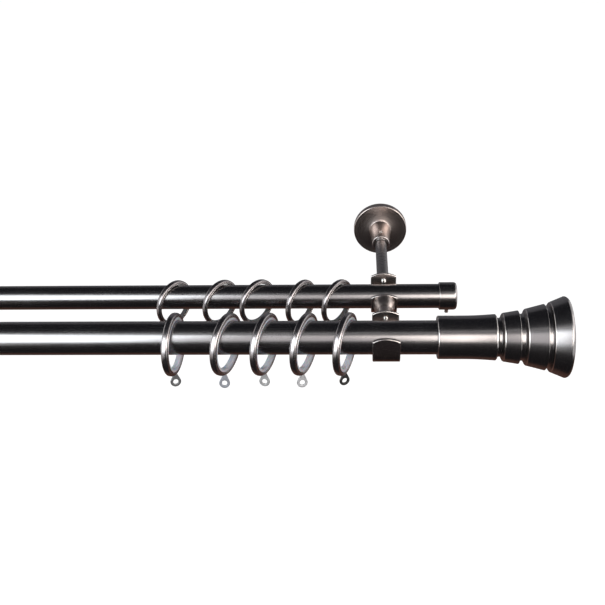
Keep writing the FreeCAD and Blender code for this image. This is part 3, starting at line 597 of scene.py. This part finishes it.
def face_outwards(mesh):
    """Closes doubles and points every face outwards."""
    shape = bmesh.new()
    shape.from_mesh(mesh)
    bmesh.ops.remove_doubles(shape, verts=shape.verts, dist=1e-7)
    bmesh.ops.recalc_face_normals(shape, faces=shape.faces)
    if shape.calc_volume(signed=True) < 0:
        bmesh.ops.reverse_faces(shape, faces=shape.faces)
    shape.to_mesh(mesh)
    shape.free()


print("lathe ready")

# %% [markdown]
# ## Holes
# A grub screw needs its hole. A Boolean modifier with a plain cutter makes it, and the result is taken as a
# mesh at once, so that nothing live is left on the piece.


# %% Drilling
def prism(name, sides, radius, start, end):
    """A closed cutter with a regular outline between two points."""
    shape = bmesh.new()
    start = Vector(start)
    axis = Vector(end) - start
    turn = axis.to_track_quat("Z", "Y").to_matrix().to_4x4()
    bmesh.ops.create_cone(shape, cap_ends=True, segments=sides, radius1=radius, radius2=radius,
                          depth=axis.length, matrix=Matrix.Translation((start + Vector(end)) / 2) @ turn)
    mesh = bpy.data.meshes.new(name)
    shape.to_mesh(mesh)
    shape.free()
    return mesh


def held(mesh):
    """A short-lived object that carries a mesh while modifiers work on it."""
    return new_object("holder", mesh)


def evaluated_mesh(holder):
    """The holder's mesh with its modifiers in it, and without them left behind."""
    bpy.context.view_layer.update()
    graph = bpy.context.evaluated_depsgraph_get()
    mesh = bpy.data.meshes.new_from_object(holder.evaluated_get(graph))
    holder.modifiers.clear()
    bpy.data.objects.remove(holder)
    return mesh


def drilled(mesh, *cutters):
    """The mesh with each cutter taken away from it."""
    for cutter in cutters:
        holder = held(mesh)
        tool = held(cutter)
        hole = holder.modifiers.new("hole", "BOOLEAN")
        hole.operation = "DIFFERENCE"
        hole.solver = "EXACT"
        hole.object = tool
        mesh = evaluated_mesh(holder)
        bpy.data.objects.remove(tool)
    return mesh


def joined(*meshes):
    """Several meshes as one."""
    shape = bmesh.new()
    for mesh in meshes:
        shape.from_mesh(mesh)
    together = bpy.data.meshes.new(meshes[0].name)
    shape.to_mesh(together)
    shape.free()
    return together


def placed(mesh, matrix):
    """A copy of a mesh, moved to its place."""
    moved = mesh.copy()
    moved.transform(matrix)
    return moved


print("drill ready")

# %% [markdown]
# ## Finishing a piece
# Every piece ends the same way. Its faces are turned outwards, its hard edges are marked, and a Weighted
# Normal modifier lets the large faces decide the shading, which keeps flats flat right up to a rounded edge.
# Then it rides on its body and stands for its CAD node.


# %% Finishing
SHARP_OVER = math.radians(38)
SHEEN_AND_WEAR_FROM = math.radians(8)
SHEEN_AND_WEAR_OVER = math.radians(22)


def sheen_and_wear_edges(mesh):
    """Stores how far each point stands out on a rounded edge, the mask for edge wear and painted highlight, for
    pieces that are not turned.
    """
    shape = bmesh.new()
    shape.from_mesh(mesh)
    shape.normal_update()
    edge_sheen_and_wear = []
    for point in shape.verts:
        bends = [edge.calc_face_angle_signed(0.0) for edge in point.link_edges if len(edge.link_faces) == 2]
        most = max(bends, default=0.0)
        edge_sheen_and_wear.append(min(1.0, max(0.0, (most - SHEEN_AND_WEAR_FROM) / (SHEEN_AND_WEAR_OVER - SHEEN_AND_WEAR_FROM))))
    shape.free()
    store(mesh, "worn", edge_sheen_and_wear)
    return mesh


def bevelled(mesh, width, over):
    """The mesh with edges rounded that bend by more than so many degrees, and its mask for edge wear and painted
    highlight stored.
    """
    holder = held(mesh)
    bevel = holder.modifiers.new("edges", "BEVEL")
    bevel.width = width
    bevel.segments = 3
    bevel.limit_method = "ANGLE"
    bevel.angle_limit = math.radians(over)
    return sheen_and_wear_edges(evaluated_mesh(holder))


def shaded(mesh):
    """Smooth shading that keeps flat faces flat."""
    face_outwards(mesh)
    mesh.shade_smooth()
    mesh.set_sharp_from_angle(angle=SHARP_OVER)
    holder = held(mesh)
    weighted = holder.modifiers.new("weighted", "WEIGHTED_NORMAL")
    weighted.keep_sharp = True
    return evaluated_mesh(holder)


def finished(name, mesh, material, body, slot, *nodes):
    """Puts a ready mesh into the scene as a piece that stands for its CAD nodes."""
    mesh.name = name
    mesh.materials.clear()
    mesh.materials.append(material)
    made = new_object(name, mesh)
    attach(made, body)
    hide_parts(*nodes)


def fixed(name, side, mesh, material, slot, node):
    """A ready piece of the pole set itself, named after its side like its CAD node."""
    finished(name + side, mesh, material, "pole_set", slot, node + side)


print("finishing ready")

# %% [markdown]
# ## Tubes
# Both tubes are drawn steel: dead straight, with a thin wall and a faint lengthwise brushing. They could be
# curves with a bevel, but a lathe outline also gives the wall, and its ends get the small radius that a tube
# cutter leaves.

# %% Both tubes
MM = 0.001
TUBE_LEFT = -1.145
TUBE_RIGHT = 0.055
FRONT_Y = -0.182
REAR_Y = -0.122
BRACKETS = {"right": 0.0, "left": -1.09}
TUBE_EDGE = 0.2 * MM


def tube(name, y, outer, inner, node):
    mesh = lathe_mesh(name, [
        (TUBE_LEFT, inner), (TUBE_LEFT, outer, TUBE_EDGE),
        (TUBE_RIGHT, outer, TUBE_EDGE), (TUBE_RIGHT, inner),
    ], Matrix.Translation((0, y, 0)))
    finished(name, shaded(mesh), tube_finish, "pole_set", "tube_metal", node)


tube("front_tube", FRONT_Y, 12.5 * MM, 11.3 * MM, "front_pole")
tube("rear_tube", REAR_Y, 9.5 * MM, 8.5 * MM, "rear_pole")
print("tubes", round((TUBE_RIGHT - TUBE_LEFT) * 1000), "mm long")

# %% [markdown]
# ## Screws
# The small screws share one Geometry Nodes tree. A screw starts as a plain turned core, and the tree winds a
# V-shaped ridge round it: a Spiral curve gives the path and a three-sided circle gives the ridge. A real
# thread modelled by hand would be the same few turns, but the tree serves every diameter.


# %% The thread tree
RIDGE_SHARE = 0.42


def thread_tree():
    """Joins a helical ridge to the core that comes in, along Z from Start for Turns of Pitch."""
    made = ShapeTree("screw_thread", {"Core": "Geometry", "Ridge Radius": "Float", "Start": "Float",
                                      "Pitch": "Float", "Turns": "Float", "Finish": "Material"})
    given = made.given
    length = made.maths("MULTIPLY", (given, "Turns"), (given, "Pitch"))
    spiral = made.node("GeometryNodeCurveSpiral", {
        "Resolution": 24, "Rotations": (given, "Turns"), "Start Radius": (given, "Ridge Radius"),
        "End Radius": (given, "Ridge Radius"), "Height": (length, "Value"),
    })
    size = made.maths("MULTIPLY", (given, "Pitch"), RIDGE_SHARE)
    ridge = made.node("GeometryNodeCurvePrimitiveCircle", {"Resolution": 3, "Radius": (size, "Value")})
    sweep = made.sweep(spiral, ridge, True)
    offset = made.node("CombineXYZ", {"Z": (given, "Start")})
    moved = {"Geometry": (sweep, "Mesh"), "Translation": (offset, "Vector")}
    move = made.node("GeometryNodeTransform", moved)
    both = made.node("GeometryNodeJoinGeometry")
    made.join(move, "Geometry", both, "Geometry")
    made.join(given, "Core", both, "Geometry")
    return made.end(both)


def through_tree(mesh, tree, **values):
    """Runs a mesh through a tree, its inputs set by their identifiers."""
    holder = held(mesh)
    modifier = holder.modifiers.new("tree", "NODES")
    modifier.node_group = tree
    for socket in tree.interface.items_tree:
        word = socket.name.replace(" ", "_").lower()
        if socket.in_out == "INPUT" and word in values:
            modifier[socket.identifier] = values[word]
    return evaluated_mesh(holder)


UPRIGHT_FRAME = columns((0, 0, 1), (1, 0, 0), (0, 1, 0), (0, 0, 0))
THREAD = thread_tree()


def screw_mesh(name, radius, start, end, pitch, tip=0.4 * MM, across=2.0 * MM, deep=1.6 * MM):
    """A socket screw along Z from its tip at start to its socket at end."""
    core = radius - pitch * 0.6
    mesh = lathe_mesh(name, [
        (start, 0), (start, radius - tip), (start + tip, core), (end - 0.5 * MM, core),
        (end - 0.5 * MM, radius, 0.1 * MM), (end, radius - 0.2 * MM, 0.1 * MM), (end, 0),
    ], UPRIGHT_FRAME, 36)
    corner = across / math.sqrt(3)
    socket = prism("socket", 6, corner, (0, 0, end - deep), (0, 0, end + MM))
    turns = (end - 0.5 * MM - start - tip - pitch) / pitch
    return through_tree(shaded(drilled(mesh, socket)), THREAD, ridge_radius=radius - pitch * RIDGE_SHARE,
                        start=start + tip + pitch / 2, pitch=pitch, turns=turns, finish=screw_finish)


ALONG_Y = columns((1, 0, 0), (0, 0, -1), (0, 1, 0), (0, 0, 0))
POINT_DOWN = Matrix.Rotation(math.pi, 4, "X")
PITCH = 0.7 * MM
LOCK_HEIGHT = 8.2 * MM
LOCK_SCREWS = ((FRONT_Y, 10.32 * MM, 16.2 * MM), (REAR_Y, 6.3 * MM, 13.2 * MM))
ROSE_SCREW_Y = -24.7 * MM
FINIAL_SCREW_X = {"right": 46 * MM, "left": -1136 * MM}
CAP_SCREW_X = {"right": 49.25 * MM, "left": -1139.25 * MM}


def at(x, y, z=0.0):
    return Matrix.Translation((x, y, z))


for side, place in BRACKETS.items():
    screws = joined(*(
        placed(screw_mesh("lock", 2 * MM, start, end, PITCH, MM), at(place, y, LOCK_HEIGHT) @ ALONG_Y)
        for y, start, end in LOCK_SCREWS
    ))
    fixed("cup_grub_screws_", side, screws, screw_finish, "screw_steel", "lock_screws_")
    grub = screw_mesh("rose", 1.95 * MM, 4.8 * MM, 7.25 * MM, PITCH)
    grub = placed(grub, at(place, ROSE_SCREW_Y))
    fixed("rose_grub_screw_", side, grub, screw_finish, "screw_steel", "rose_screw_")
    grub = screw_mesh("finial", 1.95 * MM, 12.55 * MM, 15.5 * MM, PITCH)
    grub = placed(grub, at(FINIAL_SCREW_X[side], FRONT_Y) @ POINT_DOWN)
    fixed("finial_grub_screw_", side, grub, screw_finish, "screw_steel", "finial_screw_")
    grub = screw_mesh("cap", 1.6 * MM, 9.55 * MM, 14.7 * MM, 0.55 * MM)
    grub = placed(grub, at(CAP_SCREW_X[side], REAR_Y) @ POINT_DOWN)
    fixed("cap_thumb_screw_", side, grub, cup_finish, "screw_steel", "end_cap_screw_")
print("threads on ten screws")

# %% [markdown]
# ## Finials
# Each finial is one turned piece: a collar that slips over the tube, two flared beads and an end horn,
# parted by narrow grooves. The flare of the collar is a shallow arc. Every rim gets its own radius, because
# the photo shows each as a fine bright line.

# %% The finials
GRUB_HOLE = 2 * MM
FINIAL_MOUTH = {"right": (37 * MM, 0.0), "left": (-1127 * MM, math.pi)}
COLLAR_RISE = 1.1
COLLAR_SWEEP = 24.2
COLLAR_FLARE_RADIUS = (COLLAR_RISE ** 2 + COLLAR_SWEEP ** 2) / (COLLAR_RISE * 2)


def in_metres(corners):
    return [tuple(value * MM for value in corner) for corner in corners]


finial_outline = in_metres(
    [(0, 12.6, 0.3), (0, 15.9, 0.9), (18.0, 15.9)]
    + arc((18.0, 15.9), (42.2, 17.0), COLLAR_FLARE_RADIUS, 8)
    + [(42.2, 17.0, 1.3), (43.6, 14.2, 0.3), (45.5, 14.2, 0.5), (47.2, 17.7, 1.3), (58.4, 19.55, 0.3)]
    + [(59.0, 17.1, 0.2), (61.7, 17.1, 0.5), (63.4, 20.6, 1.3), (77.2, 24.2, 0.3)]
    + [(77.8, 21.5, 0.2), (80.2, 21.5, 0.3), (80.9, 25.4, 1.1), (91.2, 29.65)]
    + arc((91.2, 29.65), (94.4, 26.45), 3.2, 8, left=False)
    + [(94.4, 26.45)]
    + arc((94.4, 26.45), (95.2, 0), 430.0, 10, left=False)
    + [(95.2, 0), (18.05, 0), (18.05, 12.6)]
)
for side, (place, turn) in FINIAL_MOUTH.items():
    matrix = at(place, FRONT_Y) @ Matrix.Rotation(turn, 4, "Z")
    mesh = lathe_mesh("finial", finial_outline, matrix)
    x = FINIAL_SCREW_X[side]
    hole = prism("hole", 48, GRUB_HOLE, (x, FRONT_Y, -10 * MM), (x, FRONT_Y, -20 * MM))
    fixed("turned_finial_", side, shaded(drilled(mesh, hole)), finial_finish, "finial_metal", "finial_")
print("finials from", len(finial_outline), "corners")

# %% [markdown]
# ## Roses, stems and links
# The rose is a spun cup with a tapered boss; it hides the wall plate and slides along the stem until a grub
# screw holds it. The stem is a plain rod. The link between the two cups starts with a small bell. All three
# stand square to the wall, so their outlines turn round Y.

# %% Rose, stem and link
LINK_START = -134.4 * MM


def wallward(x, y=0.0):
    """Turns a lathe outline's axis square to the wall, at a place."""
    return columns((0, 1, 0), (0, 0, 1), (1, 0, 0), (x, y, 0))


rose_outline = in_metres(
    [(0, 20.9), (0, 23.1, 0.25), (-5.6, 23.1, 0.2), (-6.0, 22.6, 0.2)]
    + arc((-6.0, 22.6), (-7.2, 9.7), 36.0, 8, left=False)
    + [(-7.2, 9.7), (-7.5, 9.3, 0.25), (-31.3, 7.05, 0.1), (-31.6, 7.5, 0.3), (-32.7, 7.2, 0.4)]
    + [(-32.7, 5.8, 0.3), (-31.1, 5.8), (-31.1, 4.85, 0.1), (-14.05, 4.85), (-14.05, 6.6)]
    + [(-4.6, 6.6), (-4.6, 20.9)]
)
stem_outline = in_metres([
    (-3.05, 0), (-3.05, 4.75, 0.4), (-31.3, 4.75, 0.3), (-31.3, 4.0), (-33.3, 4.0), (-33.3, 4.75, 0.45),
    (-109.55, 4.75, 0.4), (-109.55, 2.6), (-98, 2.6), (-98, 0),
])
link_outline = in_metres(
    [(-0.05, 2.6), (-0.05, 8.3, 0.3), (-1.2, 8.3)]
    + arc((-1.2, 8.3), (-10.5, 5.2), 15.5, 10)
    + [(-10.5, 5.2), (-32.15, 5.2, 0.3), (-32.15, 2.6), (-20, 2.6), (-20, 0), (-12, 0), (-12, 2.6)]
)
for side, place in BRACKETS.items():
    hole = prism("hole", 48, GRUB_HOLE, (place, ROSE_SCREW_Y, 3 * MM), (place, ROSE_SCREW_Y, 12 * MM))
    rose = shaded(drilled(lathe_mesh("rose", rose_outline, wallward(place)), hole))
    fixed("spun_rose_", side, rose, rose_finish, "bracket_metal", "rose_")
    stem = shaded(lathe_mesh("stem", stem_outline, wallward(place), 72))
    fixed("rod_stem_", side, stem, stem_finish, "bracket_metal", "stem_")
    link = shaded(lathe_mesh("link", link_outline, wallward(place, LINK_START), 96))
    fixed("bell_link_", side, link, link_finish, "bracket_metal", "cup_link_")
print("roses, stems and links ready")

# %% [markdown]
# ## End caps
# The rear tube has no finial, only a plain cap with a rounded end and a small screw under it.

# %% End caps
CAP_HOLE = 1.65 * MM
CAP_MOUTH = {"right": (42.85 * MM, 0.0), "left": (-1132.85 * MM, math.pi)}
cap_outline = in_metres(
    [(0, 9.6, 0.2), (0, 10.8, 0.3), (11.2, 10.8)]
    + arc((11.2, 10.8), (13.6, 8.4), 2.4, 8, left=False)
    + [(13.6, 8.4), (13.6, 0), (12.2, 0), (12.2, 9.6)]
)
for side, (place, turn) in CAP_MOUTH.items():
    mesh = lathe_mesh("cap", cap_outline, at(place, REAR_Y) @ Matrix.Rotation(turn, 4, "Z"), 96)
    x = CAP_SCREW_X[side]
    hole = prism("hole", 40, CAP_HOLE, (x, REAR_Y, -7 * MM), (x, REAR_Y, -13 * MM))
    fixed("plain_cap_", side, shaded(drilled(mesh, hole)), finial_finish, "finial_metal", "end_cap_")
print("end caps ready")

# %% [markdown]
# ## Cups
# A cup is a cast cradle with two arched walls. Its section is swept along the tube, the wall tops follow an
# arc, and a Bevel modifier rounds the edges before the screw holes are drilled, so that the holes stay crisp.
# A casting has to leave its mould, so the inside of each wall leans outwards a little.


# %% The cups
CUP_HALF = 10.0
ARCH_DROP = 2.8
CUP_STATIONS = 16
CUP_DRAFT = 0.9
CAST_EDGE = 0.5 * MM
LOCK_HOLE = 2.05 * MM


def quarter(centre, radius, first, last, steps=12):
    """Points of an arc round a centre, angles in degrees."""
    points = []
    for step in range(steps + 1):
        angle = math.radians(first + (last - first) * step / steps)
        points.append((centre[0] + radius * math.cos(angle), centre[1] + radius * math.sin(angle)))
    return points


def cup_mesh(seat, half, corner, back_height, front_height):
    """A cradle in millimetres: the section (y, z) swept along X with arched wall tops."""
    below = corner - half
    section = (
        [(-half, front_height)]
        + quarter((below, below), corner, 180, 270)
        + quarter((-below, below), corner, 270, 360)
        + [(half, back_height), (seat + CUP_DRAFT, back_height)]
        + quarter((0, 0), seat, 0, -180, 36)
        + [(-seat - CUP_DRAFT / 2, front_height)]
    )
    arch = (CUP_HALF * CUP_HALF + ARCH_DROP * ARCH_DROP) / (ARCH_DROP * 2)
    places = []
    for station in range(CUP_STATIONS + 1):
        x = -CUP_HALF + 2 * CUP_HALF * station / CUP_STATIONS
        fall = arch - math.sqrt(arch * arch - x * x)
        for y, z in section:
            places.append((x, y, z - fall if z > 0 else z))
    count = len(section)
    faces = [tuple(range(count)), tuple(range(CUP_STATIONS * count, (CUP_STATIONS + 1) * count))[::-1]]
    for station in range(CUP_STATIONS):
        for number in range(count):
            first = station * count + number
            second = station * count + (number + 1) % count
            faces.append((first, second, second + count, first + count))
    mesh = bpy.data.meshes.new("cup")
    mesh.from_pydata([tuple(value * MM for value in place) for place in places], [], faces)
    face_outwards(mesh)
    return bevelled(mesh, CAST_EDGE, 40)


def sunk_cutter(wall, outward):
    """The cutter for a countersunk screw hole through a cup's wall."""
    steps = [(-1, 4.55), (0.35, 4.55), (2.3, 2.6), (4.5, 2.6)]
    outline = [(wall + step * outward, radius) for step, radius in steps]
    outline = [(outline[0][0], 0)] + outline + [(outline[-1][0], 0)]
    mesh = lathe_mesh("sunk", in_metres(outline), wallward(0), 64)
    face_outwards(mesh)
    return mesh


def lock_cutter(seat):
    """The cutter for a grub screw's hole through a cup's back wall."""
    return prism("lock", 48, LOCK_HOLE, (0, (seat - 3) * MM, LOCK_HEIGHT), (0, (seat + 6) * MM, LOCK_HEIGHT))


front_cup = drilled(cup_mesh(12.6, 15.4, 9.5, 14.1, 8.0), sunk_cutter(12.6, 1), lock_cutter(12.6))
rear_cutters = sunk_cutter(9.6, 1), sunk_cutter(-9.6, -1), lock_cutter(9.6)
rear_cup = drilled(cup_mesh(9.6, 12.4, 11.6, 14.4, 8.1), *rear_cutters)
for side, place in BRACKETS.items():
    for word, cup, y in (("front_cup_", front_cup, FRONT_Y), ("rear_cup_", rear_cup, REAR_Y)):
        cast = shaded(placed(cup, at(place, y)))
        fixed("cast_" + word, side, cast, cup_finish, "bracket_metal", word)
print("cups with", len(front_cup.polygons), "and", len(rear_cup.polygons), "faces")

# %% [markdown]
# ## Rings and liners
# A ring is a strip rolled into a channel, bent round and filled with a nylon liner. Its shape follows one
# rule, a section carried round a circle, so one Geometry Nodes tree makes all of them. The section comes in
# as an edge loop; its Y becomes the place across the ring. The tree also stores the two grain attributes.


# %% The ring tree
def ring_tree():
    """Sweeps the section that comes in round a circle about Z and stores the grain attributes."""
    made = ShapeTree("rolled_ring", {"Section": "Geometry", "Middle Radius": "Float", "Sides": "Int",
                                     "Finish": "Material"})
    sized = {"Resolution": (made.given, "Sides"), "Radius": (made.given, "Middle Radius")}
    circle = made.node("GeometryNodeCurvePrimitiveCircle", sized)
    section = made.node("GeometryNodeMeshToCurve", {"Mesh": (made.given, "Section")})
    sweep = made.sweep(circle, section, False)
    apart = made.node("SeparateXYZ", {"Vector": (made.node("GeometryNodeInputPosition"), "Position")})
    flat = made.node("CombineXYZ", {"X": (apart, "X"), "Y": (apart, "Y")})
    distance = made.node("VectorMath", {0: (flat, "Vector")}, operation="LENGTH")
    across = made.node("GeometryNodeStoreNamedAttribute", {
        "Name": "turn_across", "Geometry": (sweep, "Mesh"), "Value": (apart, "Z"),
    })
    out = made.node("GeometryNodeStoreNamedAttribute", {
        "Name": "turn_out", "Geometry": (across, "Geometry"), "Value": (distance, "Value"),
    })
    return made.end(out)


ROLLED = ring_tree()
RING_SIDES = 144


def ring_mesh(name, corners, finish):
    """A ring about X from a closed outline of (across, radius) in millimetres."""
    outline = softened(in_metres(corners))
    middle = sum(radius for _, radius, _ in outline) / len(outline)
    mesh = bpy.data.meshes.new(name)
    edges = [(number, (number + 1) % len(outline)) for number in range(len(outline))]
    mesh.from_pydata([(radius - middle, across, 0) for across, radius, _ in outline], edges, [])
    store(mesh, "worn", [worn for _, _, worn in outline])
    mesh = through_tree(mesh, ROLLED, middle_radius=middle, sides=RING_SIDES, finish=finish)
    mesh.transform(Matrix.Rotation(math.pi / 2, 4, "Y"))
    face_outwards(mesh)
    return mesh


def rounded_channel(outside, side, flange, crown, wall=0.9, dip=0.4, notch=0.32):
    """A channel's outline: a rounded crown, and on each side a notch, a bead, a groove and a rolled edge."""
    inner = outside - flange
    shoulder = outside - crown
    flat = shoulder - inner
    centre = (crown - side, shoulder)
    left_side = [(-side, inner, 0.3), (-side, inner + 0.36 * flat, 0.16)]
    left_side += [(dip - side, inner + 0.48 * flat, 0.08), (dip - side, inner + 0.7 * flat, 0.08)]
    left_side += [(-side, inner + 0.82 * flat, 0.12)]
    left_side += quarter(centre, crown, 180, 154, 3)
    left_side += quarter(centre, crown - notch, 150, 143, 1)
    left_side += quarter(centre, crown, 139, 90, 6)
    right_side = [(-across, *rest) for across, *rest in reversed(left_side)]
    return (
        left_side
        + right_side
        + [(side - wall, inner, 0.3), (side - wall, outside - wall, 0.3)]
        + [(wall - side, outside - wall, 0.3), (wall - side, inner, 0.3)]
    )


def liner_outline(outside, side, flange, bore, band, wall=0.9, gap=0.1, lip=0.5):
    """A liner's outline: a band that runs on the tube with a rib that fills the channel."""
    rib = side - wall - gap
    top = outside - wall - gap
    step = outside - flange - gap
    return [
        (-rib, top, 0.15), (rib, top, 0.15), (rib, step, 0.1), (band, step, 0.15), (band, bore + lip, 0.15),
        (band - lip, bore, 0.15), (lip - band, bore, 0.15), (-band, bore + lip, 0.15), (-band, step, 0.15),
        (-rib, step, 0.1),
    ]


RINGS = {
    "front": {"outside": 23.75, "side": 2.6, "flange": 3.2, "crown": 1.9, "bore": 18.3, "band": 2.3},
    "rear": {"outside": 18.7, "side": 2.2, "flange": 2.6, "crown": 1.7, "bore": 15.2, "band": 1.6},
}
PIN_HOLE = 0.83 * MM
PIN_ROOM = 1.45 * MM
shells = {}
liners = {}
for word, size in RINGS.items():
    below = (0, 0, -(size["outside"] + 2) * MM)
    above = (0, 0, -(size["outside"] - 3) * MM)
    section = rounded_channel(size["outside"], size["side"], size["flange"], size["crown"])
    shell = ring_mesh("shell", section, ring_finish)
    shells[word] = shaded(drilled(shell, prism("pin_hole", 32, PIN_HOLE, below, above)))
    section = liner_outline(size["outside"], size["side"], size["flange"], size["bore"], size["band"])
    band = ring_mesh("liner", section, liner_finishes[word])
    room_top = (0, 0, -(size["outside"] - 2.1) * MM)
    liners[word] = shaded(drilled(band, prism("pin_room", 32, PIN_ROOM, below, room_top)))
    print(word, "ring:", len(shells[word].polygons), "and", len(liners[word].polygons), "faces")

# %% [markdown]
# ## Eyelets
# The curtain hook goes into a small flat eye that swivels on a headed pin. The eye is stamped from strip: its
# outline is extruded, the hole is cut, and a Bevel modifier gives the rolled-over edges of a stamping.

# %% The eyelet
EYE_DROP = 7.0
EYE_RADIUS = 4.1
EYE_HOLE = 2.0
EYE_THICK = 1.4
EYE_EDGE = 0.4 * MM
SHOULDER_HALF = 1.3
SHOULDER_DROP = 0.4


def eye_plate():
    """The flat eye: two straight sides that run from the shoulder to touch a round end."""
    reach = EYE_DROP - SHOULDER_DROP
    distance = math.hypot(SHOULDER_HALF, reach)
    touch = math.degrees(math.atan2(reach, SHOULDER_HALF) - math.acos(EYE_RADIUS / distance))
    outline = [(-SHOULDER_HALF, -SHOULDER_DROP)]
    outline += quarter((0, -EYE_DROP), EYE_RADIUS, 180 - touch, 360 + touch, 48)
    outline += [(SHOULDER_HALF, -SHOULDER_DROP)]
    count = len(outline)
    places = [(x * MM, y * MM, z * MM) for y in (-EYE_THICK / 2, EYE_THICK / 2) for x, z in outline]
    faces = [tuple(range(count)), tuple(range(count, 2 * count))[::-1]]
    faces += [(n, (n + 1) % count, (n + 1) % count + count, n + count) for n in range(count)]
    mesh = bpy.data.meshes.new("eye")
    mesh.from_pydata(places, [], faces)
    face_outwards(mesh)
    z = -EYE_DROP * MM
    hole = prism("eye_hole", 48, EYE_HOLE * MM, (0, -2 * MM, z), (0, 2 * MM, z))
    return bevelled(drilled(mesh, hole), EYE_EDGE, 50)


pin_outline = in_metres([
    (-3.0, 0), (-3.0, 0.7, 0.15), (-0.4, 0.75), (1.0, 0.75), (1.0, 1.15, 0.1), (1.8, 1.15, 0.25), (1.8, 0),
])
pin = lathe_mesh("pin", pin_outline, UPRIGHT_FRAME, 32)
eyelet = joined(shaded(eye_plate()), shaded(pin))
print("an eyelet has", len(eyelet.polygons), "faces")

# %% [markdown]
# ## Hanging the rings
# Each ring hangs where its CAD node is. The swivel joint gives the line from the eyelet through the ring's
# middle, and the ring's own axis is level and square to that line. The eyelet's flat faces the way that its
# hook hole's axis points.

# %% Rings in place
swivels = {joint["name"]: joint for joint in frame["joints"]}
hook_holes = {mount["name"]: mount for mount in frame["record"]["mounts"]}
for word, size in RINGS.items():
    for number in range(1, 6):
        ring = "%s_ring_%d" % (word, number)
        eye = "%s_eyelet_%d" % (word, number)
        low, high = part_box(ring)
        centre = (Vector(low) + Vector(high)) / 2
        rise = Vector(swivels[eye + "_swivel"]["axis"]).normalized()
        across = Vector((rise.y, -rise.x, 0)).normalized()
        matrix = columns(across, rise.cross(across), rise, centre)
        finished("rolled_" + ring, placed(shells[word], matrix), ring_finish, ring, "ring_metal", ring)
        finished("nylon_" + ring, placed(liners[word], matrix), liner_finishes[word], ring, "liner_plastic",
                 "%s_ring_liner_%d" % (word, number))
        facing = Vector(hook_holes[eye + "_hook_hole"]["axis"])
        facing = (facing - rise * facing.dot(rise)).normalized()
        eye_matrix = columns(facing.cross(rise), facing, rise, centre - rise * size["outside"] * MM)
        finished("stamped_" + eye, placed(eyelet, eye_matrix), eyelet_reflection_finishes[number], eye, "eyelet_metal",
                 "%s_ring_eyelet_%d" % (word, number))
print("ten rings hung")

# %% [markdown]
# ## Hidden pieces
# The wall plates and the screws inside the cups are right as the CAD has them, so they stay and only get
# their zinc finish.

# %% CAD nodes that stay
for side in BRACKETS:
    for word, finish in (("wall_plate_", plate_finish), ("cup_screws_", screw_finish)):
        mesh = frame["nodes"][word + side].data
        mesh.materials.clear()
        mesh.materials.append(finish)
print("plates and cup screws in zinc")

# %% Sizes
import json

visual_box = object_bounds()
excess = [round(1000 * (b - a), 2) for a, b in zip(cad_box[1], visual_box[1])]
print("CAD and dressed sizes differ by", excess, "mm")
